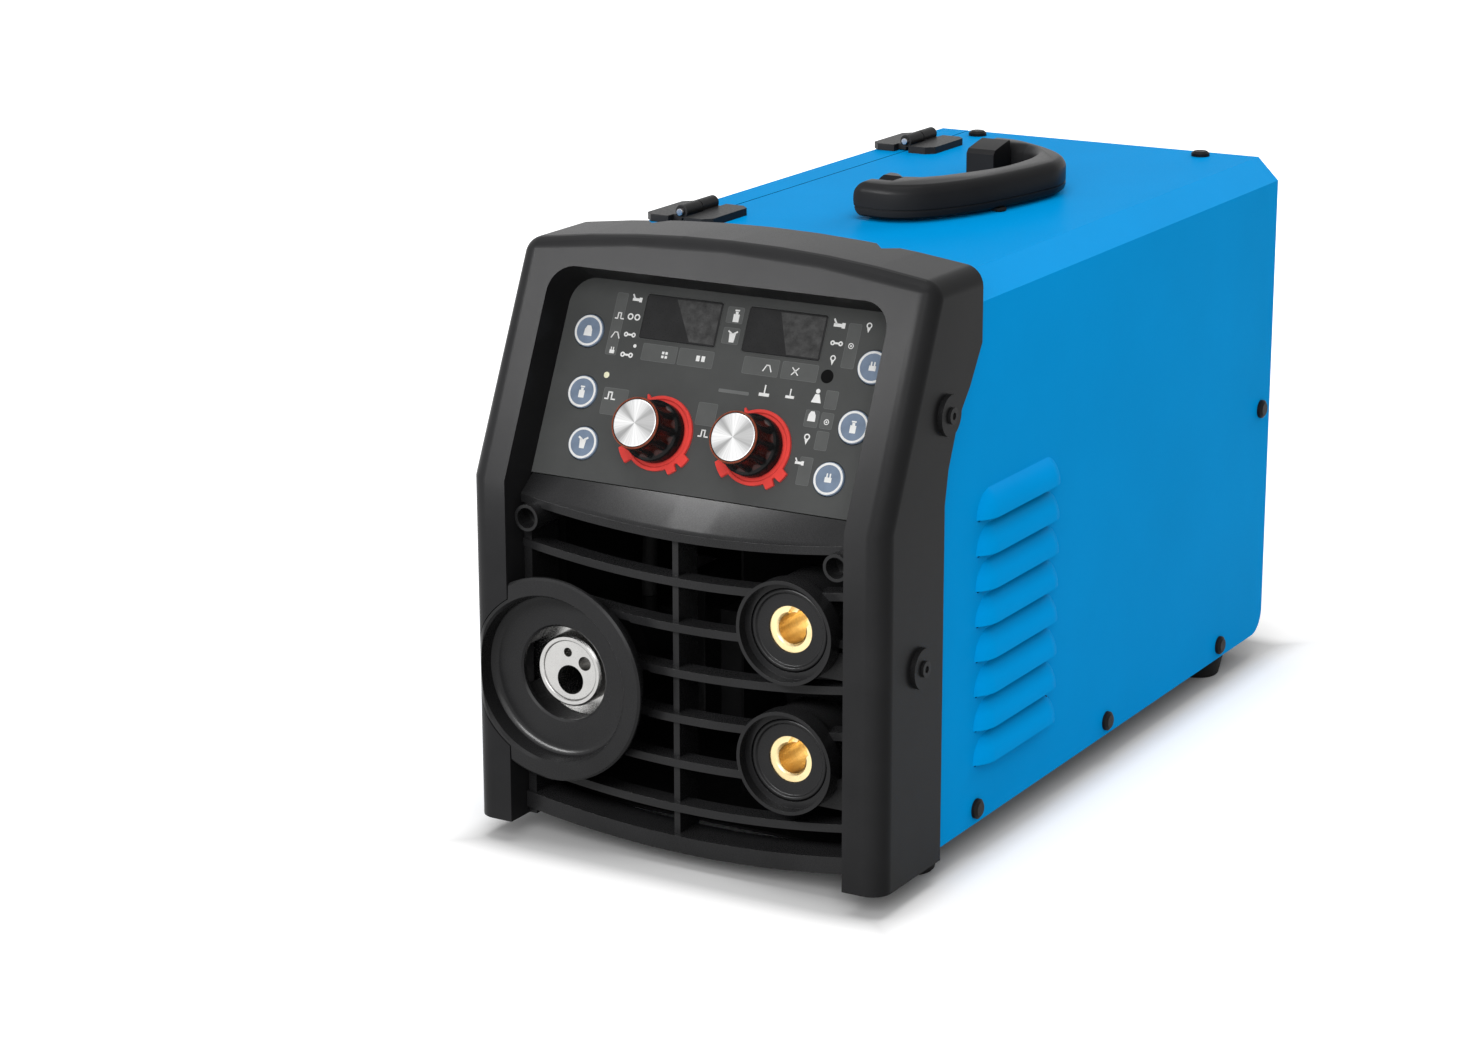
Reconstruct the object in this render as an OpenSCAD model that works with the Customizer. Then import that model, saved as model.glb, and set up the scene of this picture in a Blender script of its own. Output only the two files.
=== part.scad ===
// Portable MIG welding machine: inverter power source with a built-in wire feeder.
// Millimetres. X points right as seen from the front, Y to the rear, Z up.
// Lengths along Y are written from the front frame's face; at_origin() then moves every
// piece so that the origin is at the middle of the footprint, on the floor.

/* [Case] */
// Width over the sheet-metal cover
case_w = 200; // [196:1:215]
// Depth from the front frame's face to the cover's rear edge
case_l = 422.5; // [415:0.5:450]
// Height of the cover's top face above the floor
case_top = 261; // [258:1:275]
// Height of the case's underside above the floor
case_bottom = 14; // [11:1:18]
// Thickness of the sheet metal
sheet_t = 1.2; // [1:0.1:1.6]
// Chamfer along the cover's top edges
edge_cut = 11; // [7:1:14]
// Radius of the cover's lower rear corners
rear_corner_r = 12; // [6:1:18]
// Distance of the seam between cover and door from the middle of the case
seam_x = 73.4; // [70:0.2:78]
// Gap around the door
door_gap = 0.8; // [0.6:0.1:1.2]
// Height of the chassis pan's side flanges
flange_h = 14; // [12:1:16]
// How far the rear panel sits inside the cover's rear edge
rear_recess = 5; // [3:0.5:8]
// Position of the centre partition, left of the middle
partition_x = 7; // [5:0.5:9]

/* [Louvres] */
// Number of louvres
louvre_n = 8; // [5:1:9]
// Spacing of the louvres
louvre_pitch = 16; // [15:0.5:17]
// Length of a louvre
louvre_l = 81; // [60:1:100]
// Height of a louvre
louvre_h = 12.5; // [10:0.5:13]
// How far a louvre stands out
louvre_out = 5.5; // [4:0.25:6]
// Height of the lowest louvre's edge above the floor
louvre_low = 42; // [36:1:50]
// Distance of the louvres from the front frame's face
louvre_front = 90; // [86:1:100]

/* [Front frame] */
// Width that the front frame adds on each side of the case
frame_over = 3; // [2.6:0.1:4]
// Wall of the front frame
frame_wall = 2.6; // [2.2:0.1:2.8]
// Radius of the front frame's edges
frame_r = 9; // [6:0.5:11]
// Height of the front frame's lower edge above the floor
frame_bottom = 10.6; // [8:0.2:12]
// Height at which the front face starts to lean back
kink_z = 170; // [165:1:175]
// Angle of the leaned upper face
lean = 25; // [22:0.5:28]
// Height of the frame's arched top at its middle
frame_top = 273.5; // [271:0.5:280]
// How much lower the arch is at the sides
frame_crown = 6.6; // [4:0.2:8]
// Depth of the frame along the top
frame_l = 87; // [84:1:95]
// Depth of the frame's lower side walls
frame_side_l = 54; // [50:1:60]
// Half width of the front opening
opening_x = 84; // [82:0.5:86]
// Length of the opening up the leaned face
opening_top = 96.2; // [92:0.2:98]
// Corner radius of the opening
opening_r = 12.5; // [8:0.5:16]
// Diameter of the side bosses
boss_d = 18; // [14:1:20]
// How far a side boss stands out
boss_out = 2.2; // [1.5:0.1:3]

/* [Grille] */
// Depth of the slats' front edges at the middle
grille_y = 13; // [11:0.5:16]
// How much the slats sag between the columns
slat_sag = 7; // [5:0.5:9]
// Height of a slat
slat_t = 3.7; // [3:0.1:4.5]
// Depth of a slat
slat_d = 10; // [8:0.5:12]
// Spacing of the slats
slat_pitch = 20.6; // [19.5:0.1:21.5]
// Height of the top slat at the middle
slat_top = 132.6; // [130:0.2:134]
// Number of slats
slat_n = 6; // [4:1:6]
// Thickness of the centre rib
rib_t = 3; // [2:0.5:5]

/* [Control panel] */
// Depth of the panel behind the leaned face
panel_depth = 20.5; // [18:0.5:23]
// Thickness of the panel
panel_t = 2.5; // [2:0.1:3]
// Distance of the control board behind the panel
board_gap = 12; // [10:0.5:14]
// Diameter of a push button
button_d = 14.6; // [12:0.1:15.4]
// Travel of a push button
button_travel = 0.8; // [0.5:0.1:1]
// Distance of the knobs from the middle of the panel
knob_x = 24.3; // [22:0.1:28]
// Distance of the knobs up the panel
knob_s = 31.5; // [28:0.5:35]
// Diameter of a knob at its skirt
knob_d = 27; // [24:0.5:28]
// Height of a knob above the panel
knob_h = 22; // [18:0.5:26]
// Diameter of a knob's metal cap
knob_cap_d = 20.6; // [16:0.2:21]
// Width of a display window
display_w = 38; // [34:0.5:42]
// Height of a display window
display_h = 19.5; // [16:0.5:21]

/* [Torch connector] */
// Distance of the torch connector left of the middle
torch_x = 62.5; // [61.5:0.1:63]
// Height of the torch connector
torch_z = 80.5; // [78:0.5:84]
// Diameter of the flange around the connector
flange_d = 92.5; // [90:0.5:98]
// Diameter of the flange's dish
dish_d = 76; // [73:0.5:79]
// Depth of the dish
dish_depth = 11.5; // [9:0.5:15]
// Diameter of the hole in the dish
dish_hole_d = 43; // [40:0.5:47]
// Diameter of the metal connector body
connector_d = 32.8; // [31:0.2:34.6]
// Depth of the connector's face behind the front
connector_depth = 16; // [14:0.5:20]
// Diameter of the bore for the torch plug
torch_bore_d = 13.4; // [12:0.2:14.4]
// Length of the bore for the torch plug
torch_bore_l = 24; // [18:1:28]

/* [Output sockets] */
// Distance of the output sockets right of the middle
socket_x = 52.6; // [50:0.2:55]
// Height of the lower output socket
socket_low = 61; // [56:0.5:64]
// Distance between the output sockets
socket_pitch = 58; // [54:0.5:62]
// Diameter of the ring around a socket
socket_ring_d = 46; // [44:0.5:49]
// Diameter of a socket's insulated housing
socket_d = 36.5; // [34:0.5:38]
// Outer diameter of the brass insert
insert_d = 20.5; // [19:0.1:22]
// Bore of the brass insert
insert_bore = 13.2; // [12.8:0.1:14]
// Depth of the bore in the brass insert
insert_depth = 22; // [18:0.5:26]

/* [Handle] */
// Length of the handle along the case
handle_l = 145.5; // [140:0.5:150]
// Reach of the handle from its pivot to its outer edge
handle_reach = 51; // [48:0.5:54]
// Thickness of the handle
handle_t = 16; // [14:0.5:18]
// Width of the front arm along the case
front_arm_w = 35; // [30:0.5:38]
// Width of the rear arm along the case
rear_arm_w = 16.4; // [14:0.2:18]
// Distance of the handle's front end from the front
handle_front = 176.5; // [170:0.5:182]
// Distance of the handle's pivot right of the middle
handle_pivot_x = -1.5; // [-4:0.5:2]
// Width of the front bracket's lug
lug_w = 10; // [8:0.5:12]
// Length of the rear bracket along the case
bracket_l = 18; // [15:0.5:20]

/* [Hinges] */
// Length of a hinge along the case
hinge_l = 38; // [32:1:42]
// Width of a hinge over both leaves
hinge_w = 35; // [32:1:37]
// Thickness of a hinge leaf
leaf_t = 3.5; // [2.5:0.1:3.8]
// Radius of a hinge knuckle
knuckle_r = 3.2; // [2.9:0.1:3.6]
// Radius of a hinge pin
hinge_pin_r = 1.6; // [1.4:0.1:1.8]
// Distance of the front hinge's middle from the front
hinge_front = 146; // [135:1:155]
// Distance of the rear hinge's middle from the cover's rear edge
hinge_rear = 57.5; // [52:0.5:66]

/* [Wire feeder and spool] */
// Distance of the rolls from the front
roll_y = 134; // [133:0.5:135]
// Radius of the drive roll
drive_roll_r = 15; // [12:0.5:16]
// Radius of the pressure roll
press_roll_r = 13; // [11:0.5:14]
// Width of the rolls
roll_w = 12; // [10:0.5:13]
// Width of the wire spool
spool_w = 54; // [45:1:56]
// Height of the spool's axis
spool_z = 130; // [126:0.5:136]
// Radius of the turning hub
hub_r = 25; // [22:0.5:28]

/* [Rear] */
// Thickness of the cooling fan
fan_t = 25; // [20:1:28]
// Height of the fan's axis
fan_z = 80; // [76:0.5:84]
// Height of the power switch
switch_z = 214; // [208:0.5:220]
// Height of the gas inlet and the mains gland
inlet_z = 164; // [158:0.5:168]
// How far the gas inlet stands out behind the cover
nipple_out = 18; // [15:0.5:22]

/* [Feet] */
// Radius of a foot at the case
foot_r = 14; // [12:0.5:15]
// Distance of the front feet from the front
foot_front = 64; // [58:0.5:70]
// Distance of the rear feet from the cover's rear edge
foot_rear = 42.5; // [36:0.5:50]

/* [Hidden] */

$fn = 48;
eps = 0.01;
soft_fn = 32;

// Clearances
fit = 0.05;       // radial, for a part that turns on a pin
seat_gap = 0.3;   // between a part and what it fits into
screw_gap = 0.2;  // radial, around a screw

// Case
half_w = case_w / 2;
inner_x = half_w - sheet_t;
inner_top = case_top - sheet_t;
floor_z = case_bottom + sheet_t;
rear_y = case_l - rear_recess;
rear_inner_y = rear_y - sheet_t;
rear_flange_l = 12;
cover_front = 40;
cover_lean = 14;
left_flange_x = inner_x - 0.5;
wall_x = -partition_x;
wall_front = frame_side_l + 20;
wall_rear = rear_inner_y - rear_flange_l - seat_gap;

// Screws
screw_head_r = 4.6;
screw_head_h = 2.6;
screw_r = 1.75;
screw_l = 7;
side_screws = [[94, case_bottom + 7], [case_l * 0.547, case_bottom + 7],
    [case_l - 56, case_bottom + 7]];
rear_side_screw = [rear_y - 7, 134.6];
rear_top_screw = [62.6, rear_y - 7];

// Front frame
frame_x = half_w + frame_over;
frame_cx = frame_x - frame_r;
boss_places = [[33, 104], [55, 209]];
boss_screw_r = 2;
boss_head_r = 3.6;
boss_head_h = 1.2;
upright_front = boss_places[0][0] - 11;
upright_rear = boss_places[1][0] + 13;
upright_top = boss_places[1][1] + 14;
pan_front = 36;

// Grille
grille_x = opening_x - 0.4;
grille_back = grille_y + 22;
slat_r = (opening_x * opening_x + slat_sag * slat_sag) / (2 * slat_sag);
ledge_z = slat_top + slat_pitch - 0.2;
low_bar_z = slat_top - slat_pitch * slat_n + 6;
post_x = 77;
post_z = 151;
post_r = 6;

// Control panel
panel_low = 6.8;
panel_margin = 1.6;
panel_low_y = panel_low * sin(lean) + panel_depth * cos(lean);
panel_low_z = kink_z + panel_low * cos(lean) - panel_depth * sin(lean);
board_t = 1.6;
board_post_x = 46;
post_low_s = 20;
post_high_s = 60;
button_places = [[-70.6, 72.3], [-67, 45], [-61, 22.6], [71, 72.3], [68, 46], [61.5, 22.8]];
display_x = 25.8;
display_s = 82;
stem_r = 2;
encoder_r = 3.6;
encoder_shaft_r = 3;

// Torch connector
flange_floor = 2.5;
disc_t = 3;
collar_r = dish_d / 2 + 2;
bore_drop = 4.4;
face_sink = 1;
seat_t = 12;
front_body_l = 40;
rear_body_r = 10;
clamp_y = 96;
clamp_l = 14;

// Output sockets
socket_front = 5;
ring_l = grille_y + 1 - socket_front;
socket_z = [socket_low, socket_low + socket_pitch];
housing_face = socket_front + 5;
insert_sink = 2;
insert_lead = 1;
housing_l = 46;
insert_l = 52;
keyway_turn = 58;

// Handle
handle_low = case_top + 1.2;
handle_pivot_z = handle_low + handle_t / 2;
handle_rear = handle_front + handle_l;
arm_end_r = handle_t / 2 + 1;
lug_y = handle_front + front_arm_w / 2 + 1;
lug_gap = 0.6;
lug_r = 6;
bracket_rear = handle_rear - rear_arm_w - 2;
handle_pin_r = 2.5;

// Hinges
hinge_z = case_top + 4.9;
hinge_places = [hinge_front, case_l - hinge_rear];

// Door latch
latch_y = case_l * 0.56;
latch_z = case_bottom + 24;
latch_shaft_r = 7;

// Wire feeder
wire_r = 0.5;
wire_x = -torch_x;
wire_z = torch_z - bore_drop;
drive_z = wire_z - drive_roll_r - wire_r;
press_z = wire_z + press_roll_r + wire_r;
plate_x = -38;
plate_t = 5;
plate_face = plate_x - plate_t;
motor_shaft_r = 4;
motor_r = 24;
motor_l = 60;
gearbox_w = 56;
arm_pivot = [roll_y - 31, press_z + 9];
rod_pivot = [roll_y + 29, wire_z + 3];
arm_x = plate_face - 1;
arm_t = 10;
arm_h = 12;
tension_x = arm_x - arm_t / 2;
pivot_stud_r = 3;
rod_r = 2.5;
collar_low = arm_pivot[1] + arm_h / 2 - rod_pivot[1] + 1;
collar_h = 2;
tension_spring_l = 14;
tension_knob_h = 13;
rod_lean = 30;
roll_axle_r = 4;

// Spool, between the feeder and the rear panel
spool_front = roll_y + 67;
spool_r = (rear_inner_y - 19.3 - spool_front) / 2;
spool_y = spool_front + spool_r;
flange_t = 3;
core_r = spool_r * 0.51;
spool_x = -torch_x + 12;
spindle_r = 8;
hub_end_x = -inner_x + 5;

// Rear
fan_w = case_w * 0.46;
fan_x = fan_w / 2;
guard_r = fan_w / 2 - 2;
fan_hole = fan_w / 2 - 5;
fan_bore = fan_w / 2 - 3;
nipple_x = 18;
nipple_r = 4.5;
nipple_thread_r = 6;
gland_x = 68;
gland_thread_r = 8;
gland_bore = 5.5;
switch_x = 46;
switch_body = [21, 31];
rocker_size = [17, 26];
rocker_tilt = 10;
rocker_y = rear_y - 3;

// Gas hose, from the valve to the torch connector
hose_r = 3.5;
valve_front = rear_inner_y - 72.3;
hose_y = 84;
hose_cross_z = 150;
hose_end_z = wire_z + rear_body_r + 12;

fan_hub_r = 17;

// Electronics
link_end = [193, 150];
sink_y = 150;
sink_l = 160;
sink_w = 70;
sink_z = 120;
sink_h = 52;
board_z = sink_z + sink_h;
pcb_l = sink_l + 20;
pcb_w = half_w - 8;
core_w = 64;
core_l = 56;
core_h = 60;
core_y = 200;
core_limb = 14;
winding_out = 7;
choke_r = 32;
choke_bore = 13;
choke_h = 30;
choke_y = 305;
capacitor_r = 16;
capacitor_h = 48;
capacitor_pitch = 36;
module_w = 18;
module_l = 24;
module_h = 12;

// Feet
foot_taper = 3;
foot_places = [for (sx = [-1, 1], y = [foot_front, case_l - foot_rear]) [sx * (half_w - foot_r - 3), y]];

origin_y = -(case_l + nipple_out) / 2;

// ---------- helpers ----------

module at_origin() translate([0, origin_y, 0]) children();

// Moves into the plane of the leaned face: X across, Y into the machine, Z up the slope.
module leaned() translate([0, 0, kink_z]) rotate([-lean, 0, 0]) children();

// Extrudes an outline drawn in X and Z along Y, from y to y + length.
module along_y(y, length) translate([0, y + length, 0]) rotate([90, 0, 0])
    linear_extrude(length) children();

// Extrudes an outline drawn in Y and Z along X, from x to x + length.
module along_x(x, length) translate([x, 0, 0]) rotate([90, 0, 90])
    linear_extrude(length) children();

module rod_x(p, r, length) translate(p) rotate([0, 90, 0]) cylinder(r = r, h = length);

module rod_y(p, r, length) translate(p) rotate([-90, 0, 0]) cylinder(r = r, h = length);

module both_sides() {
    children();
    mirror([1, 0, 0]) children();
}

// Solid through a list of sections, each with the same number of points.
module loft(sections) {
    n = len(sections[0]);
    m = len(sections);
    polyhedron(
        points = [for (s = sections) for (p = s) p],
        faces = concat([[for (i = [n - 1 : -1 : 0]) i]],
            [for (k = [0 : m - 2], i = [0 : n - 1])
                each [[k * n + i, (k + 1) * n + (i + 1) % n, (k + 1) * n + i],
                    [k * n + i, k * n + (i + 1) % n, (k + 1) * n + (i + 1) % n]]],
            [[for (i = [0 : n - 1]) (m - 1) * n + i]]));
}

// Rectangle with round corners, centred.
module round_rect(size, r) {
    square([size[0] - 2 * r, size[1]], center = true);
    square([size[0], size[1] - 2 * r], center = true);
    for (sx = [-1, 1], sy = [-1, 1])
        translate([sx * (size[0] / 2 - r), sy * (size[1] / 2 - r)]) circle(r);
}

// Rectangle with cut corners, centred.
module cut_rect(size, c) {
    a = size[0] / 2;
    b = size[1] / 2;
    polygon([[-a + c, -b], [a - c, -b], [a, -b + c], [a, b - c], [a - c, b], [-a + c, b],
        [-a, b - c], [-a, -b + c]]);
}

// Outline of the case seen from the front, grown by g.
module case_outline(g) polygon([[-half_w - g, case_bottom - g], [half_w + g, case_bottom - g],
    [half_w + g, case_top - edge_cut + g / 2], [half_w - edge_cut + g / 2, case_top + g],
    [-half_w + edge_cut - g / 2, case_top + g], [-half_w - g, case_top - edge_cut + g / 2]]);

// Sheet that runs up one side, over the chamfer and across the top to x = inner_end.
module side_sheet(inner_end) {
    k = sheet_t * tan(22.5);
    polygon([[half_w, case_bottom], [half_w, case_top - edge_cut],
        [half_w - edge_cut, case_top], [inner_end, case_top], [inner_end, inner_top],
        [half_w - edge_cut - k, inner_top], [inner_x, case_top - edge_cut - k],
        [inner_x, case_bottom]]);
}

// Removes the lower rear corner of a side sheet.
module rear_corner_cut() along_x(-half_w - 1, case_w + 2) difference() {
    translate([case_l - rear_corner_r, case_bottom - 1]) square([rear_corner_r + 1, rear_corner_r + 1]);
    translate([case_l - rear_corner_r, case_bottom + rear_corner_r]) circle(rear_corner_r);
}

// Holes for the case screws on the right side and the top.
module case_screw_holes(r) {
    for (p = concat(side_screws, [rear_side_screw]))
        rod_x([inner_x - 8, p[0], p[1]], r, 12);
    for (s = [-1, 1])
        translate([s * rear_top_screw[0], rear_top_screw[1], inner_top - 8]) cylinder(r = r, h = 12);
}

module pan_screw() {
    cylinder(r = screw_head_r, h = screw_head_h * 0.6);
    translate([0, 0, screw_head_h * 0.6]) cylinder(r1 = screw_head_r, r2 = screw_head_r * 0.7,
        h = screw_head_h * 0.4);
    translate([0, 0, -screw_l]) cylinder(r = screw_r, h = screw_l + eps);
}

// ---------- case ----------

module chassis_pan() color([0.16, 0.17, 0.18]) difference() {
    union() {
        translate([-left_flange_x, pan_front, case_bottom])
            cube([left_flange_x + inner_x, rear_inner_y - pan_front, sheet_t]);
        // side flanges and the front uprights that carry the front frame
        for (x = [-left_flange_x, inner_x - sheet_t]) {
            translate([x, pan_front, case_bottom])
                cube([sheet_t, case_l - rear_corner_r - pan_front, flange_h]);
            along_x(x, sheet_t) polygon([[upright_front, case_bottom], [upright_rear, case_bottom],
                [upright_rear, upright_top], [upright_rear - 24, upright_top],
                [upright_front, upright_top - 90]]);
        }
    }
    case_screw_holes(screw_r + screw_gap);
    for (p = boss_places) rod_x([-half_w, p[0], p[1]], boss_screw_r + screw_gap, case_w);
    for (p = foot_places) translate([p[0], p[1], case_bottom - 1])
        cylinder(r = screw_r + screw_gap, h = 4);
}

module centre_partition() color([0.62, 0.64, 0.66]) difference() {
    union() {
        translate([wall_x - sheet_t, wall_front, floor_z])
            cube([sheet_t, wall_rear - wall_front, inner_top - floor_z - seat_gap]);
        translate([wall_x - sheet_t, wall_front, floor_z])
            cube([12, wall_rear - wall_front, sheet_t]);
    }
    rod_x([wall_x - 3, roll_y, drive_z], motor_r + 1, 6);
    rod_x([wall_x - 3, spool_y, spool_z], spindle_r + screw_gap, 6);
    rod_x([wall_x - 3, hose_y, hose_cross_z], hose_r + 2, 6);
}

// One pressed louvre, its lower edge at the origin, standing out along X; grown by g.
module louvre_form(g) {
    r = (louvre_h * louvre_h + louvre_out * louvre_out) / (2 * louvre_out);
    intersection() {
        translate([louvre_out - r, 0, 0]) {
            rod_y([0, louvre_h, 0], r + g, louvre_l - 2 * louvre_h);
            for (y = [louvre_h, louvre_l - louvre_h]) translate([0, y, 0]) sphere(r + g);
        }
        translate([g < 0 ? -sheet_t - 1 : -eps, -1, g < 0 ? -1 : 0])
            cube([louvre_out + sheet_t + 2, louvre_l + 2, louvre_h + 2]);
    }
}

module cover() color([0.0, 0.5, 0.76]) difference() {
    union() {
        along_y(cover_front, case_l - cover_front) side_sheet(-seam_x + door_gap / 2);
        for (k = [0 : louvre_n - 1])
            translate([half_w, louvre_front, louvre_low + k * louvre_pitch]) louvre_form(0);
    }
    for (k = [0 : louvre_n - 1])
        translate([half_w, louvre_front, louvre_low + k * louvre_pitch]) louvre_form(-sheet_t);
    rear_corner_cut();
    // the front edge follows the leaned face
    leaned() translate([-case_w, -case_l, -kink_z]) cube([2 * case_w, case_l + cover_lean, case_l]);
    case_screw_holes(screw_r + screw_gap);
    for (p = boss_places) rod_x([0, p[0], p[1]], boss_screw_r + screw_gap, half_w + 4);
}

// Rear edge of the front frame's side walls, moved back by g.
module frame_rear_cut(g) polygon([[frame_side_l + g, -1], [frame_side_l + g, kink_z],
    [frame_side_l + 3 + g, kink_z + 15], [frame_side_l + 9 + g, kink_z + 29],
    [frame_side_l + 15 + g, kink_z + 39], [frame_side_l + 22 + g, kink_z + 47],
    [frame_l + g, kink_z + 64], [frame_l + g, case_top + 40], [frame_l + 500, case_top + 40],
    [frame_l + 500, -1]]);

module side_door() color([0.0, 0.5, 0.76]) difference() {
    intersection() {
        along_y(cover_front, case_l - cover_front) mirror([1, 0])
            side_sheet(seam_x + door_gap / 2);
        along_x(-half_w - 1, half_w) frame_rear_cut(door_gap);
    }
    rear_corner_cut();
    rod_x([-half_w - 1, latch_y, latch_z], latch_shaft_r + seat_gap, sheet_t + 2);
}

module rear_panel() color([0.12, 0.12, 0.13]) difference() {
    union() {
        along_y(rear_inner_y, sheet_t) rear_outline(0.4);
        along_y(rear_inner_y - rear_flange_l, rear_flange_l + eps) difference() {
            rear_outline(0.4);
            rear_outline(0.4 + sheet_t);
            translate([-half_w, case_bottom - 1]) square([case_w, flange_h + 8]);
            translate([-half_w - 1, case_bottom]) square([half_w - seam_x + 12, case_top]);
        }
    }
    rod_y([fan_x, rear_inner_y - 1, fan_z], guard_r - 2, sheet_t + 2);
    for (sx = [-1, 1], sz = [-1, 1]) rod_y([fan_x + sx * fan_hole, rear_inner_y - 1,
        fan_z + sz * fan_hole], screw_r + screw_gap, sheet_t + 2);
    rod_y([nipple_x, rear_inner_y - 1, inlet_z], nipple_thread_r + screw_gap, sheet_t + 2);
    rod_y([gland_x, rear_inner_y - 1, inlet_z], gland_thread_r + screw_gap, sheet_t + 2);
    translate([switch_x - switch_body[0] / 2 - screw_gap, rear_inner_y - 1,
        switch_z - switch_body[1] / 2 - screw_gap])
        cube([switch_body[0] + 2 * screw_gap, sheet_t + 2, switch_body[1] + 2 * screw_gap]);
    case_screw_holes(screw_r + screw_gap);
}

// Inside outline of the cover, shrunk by g.
module rear_outline(g) {
    x = inner_x - g;
    z = inner_top - g;
    c = edge_cut;
    polygon([[-x + 0.5, floor_z + 0.1], [x, floor_z + 0.1], [x, z - c], [x - c, z], [-x + c, z],
        [-x + 0.5, z - c]]);
}

// ---------- front frame ----------

// Height of the arched top at x.
function arch_z(x) = frame_top - frame_crown * pow(x / frame_cx, 2);
// Depth of the leaned plane, moved in by d, at height z.
function leaned_y(z, d) = (z - kink_z) * tan(lean) + d / cos(lean);

// Rounded solid of the frame; w shrinks it by the wall.
module frame_solid(w, low, rear) {
    r = frame_r - w;
    kink_drop = frame_r * (1 / cos(lean) - 1) / tan(lean);
    hull() {
        for (s = [-1, 1]) {
            translate([s * frame_cx, frame_r, low])
                cylinder(r = r, h = kink_z - kink_drop - low, $fn = soft_fn);
            translate([s * (frame_x - w) - (s > 0 ? 1 : 0), rear - 1, low]) cube([1, 1, 100]);
        }
        for (k = [-4 : 4]) {
            x = frame_cx * k / 4;
            z = arch_z(x) - frame_r;
            translate([x, leaned_y(z, frame_r), z]) sphere(r, $fn = soft_fn);
            translate([x, rear - 1, z]) rotate([-90, 0, 0]) cylinder(r = r, h = 1, $fn = soft_fn);
        }
    }
}

// Outline of the opening in the leaned face, grown by g.
module opening_outline(g) {
    translate([-opening_x - g, -case_w]) square([2 * (opening_x + g), opening_top - opening_r + case_w]);
    translate([-opening_x + opening_r, 0]) square([2 * (opening_x - opening_r), opening_top + g]);
    for (s = [-1, 1]) translate([s * (opening_x - opening_r), opening_top - opening_r])
        circle(opening_r + g);
}

// Point, in Y and Z, at depth d on the leaned face, u up the slope from the bend.
function bend_point(u, d) = [d + u * sin(lean), kink_z - d * tan(lean / 2) + u * cos(lean)];

// Space of the front opening, grown by g, from depth a to depth b.
module opening_space(g, a, b) intersection() {
    along_x(-frame_x, 2 * frame_x) polygon([[a, 0], [b, 0], bend_point(0, b), bend_point(case_w, b),
        bend_point(case_w, a), bend_point(0, a)]);
    leaned() along_y(-frame_l, case_w) opening_outline(g);
}

module front_frame() color([0.11, 0.11, 0.12]) difference() {
    union() {
        difference() {
            frame_solid(0, frame_bottom, frame_l);
            difference() {
                frame_solid(frame_wall, frame_bottom - 5, frame_l - 7);
                opening_space(frame_wall, -3, panel_depth - 0.2);
            }
        }
        both_sides() for (p = boss_places) rod_x([frame_x - 0.5, p[0], p[1]], boss_d / 2, boss_out + 0.5);
    }
    opening_space(0, -5, panel_depth + 1);
    along_y(frame_l - 8, 20) case_outline(seat_gap);
    ring_y(-torch_x, torch_z, collar_r + seat_gap, -1, dish_depth + flange_floor + seat_gap + 1);
    along_x(-frame_x - 1, 2 * frame_x + 2) frame_rear_cut(0);
    both_sides() {
        for (p = boss_places) rod_x([half_w - 3, p[0], p[1]], boss_screw_r + screw_gap, 12);
        // notch in the top rear edge
        translate([57.5, frame_l, case_top + 5]) linear_extrude(20)
            polygon([[-6.5, 1], [6.5, 1], [0, -6.5]]);
    }
}

// ---------- grille ----------

// Height of an arc that is z at the middle and rises towards the columns, at x.
function sag_z(z, x) = z + slat_r - sqrt(slat_r * slat_r - x * x);

// Outline, in X and Z, of a curved band between heights a and b at the middle.
module band_outline(a, b) {
    steps = 12;
    xs = [for (k = [-steps : steps]) grille_x * k / steps];
    polygon(concat([for (x = xs) [x, sag_z(a, x)]],
        [for (k = [2 * steps : -1 : 0]) [xs[k], sag_z(b, xs[k])]]));
}

// Ledge below the control panel: a curved front edge, and a top that slopes up to the panel.
module ledge() loft([for (k = [-12 : 12])
    let (x = grille_x * k / 12, z = sag_z(ledge_z, x))
    [[x, grille_y - 1, z - slat_t], [x, grille_y - 1, z], [x, grille_y + 1, z + 1.5],
        [x, panel_low_y, panel_low_z - 0.4], [x, panel_low_y + 3, panel_low_z - 2],
        [x, panel_low_y + 3, z - slat_t]]]);

module ring_y(x, z, r, y, length) rod_y([x, y, z], r, length);

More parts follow.
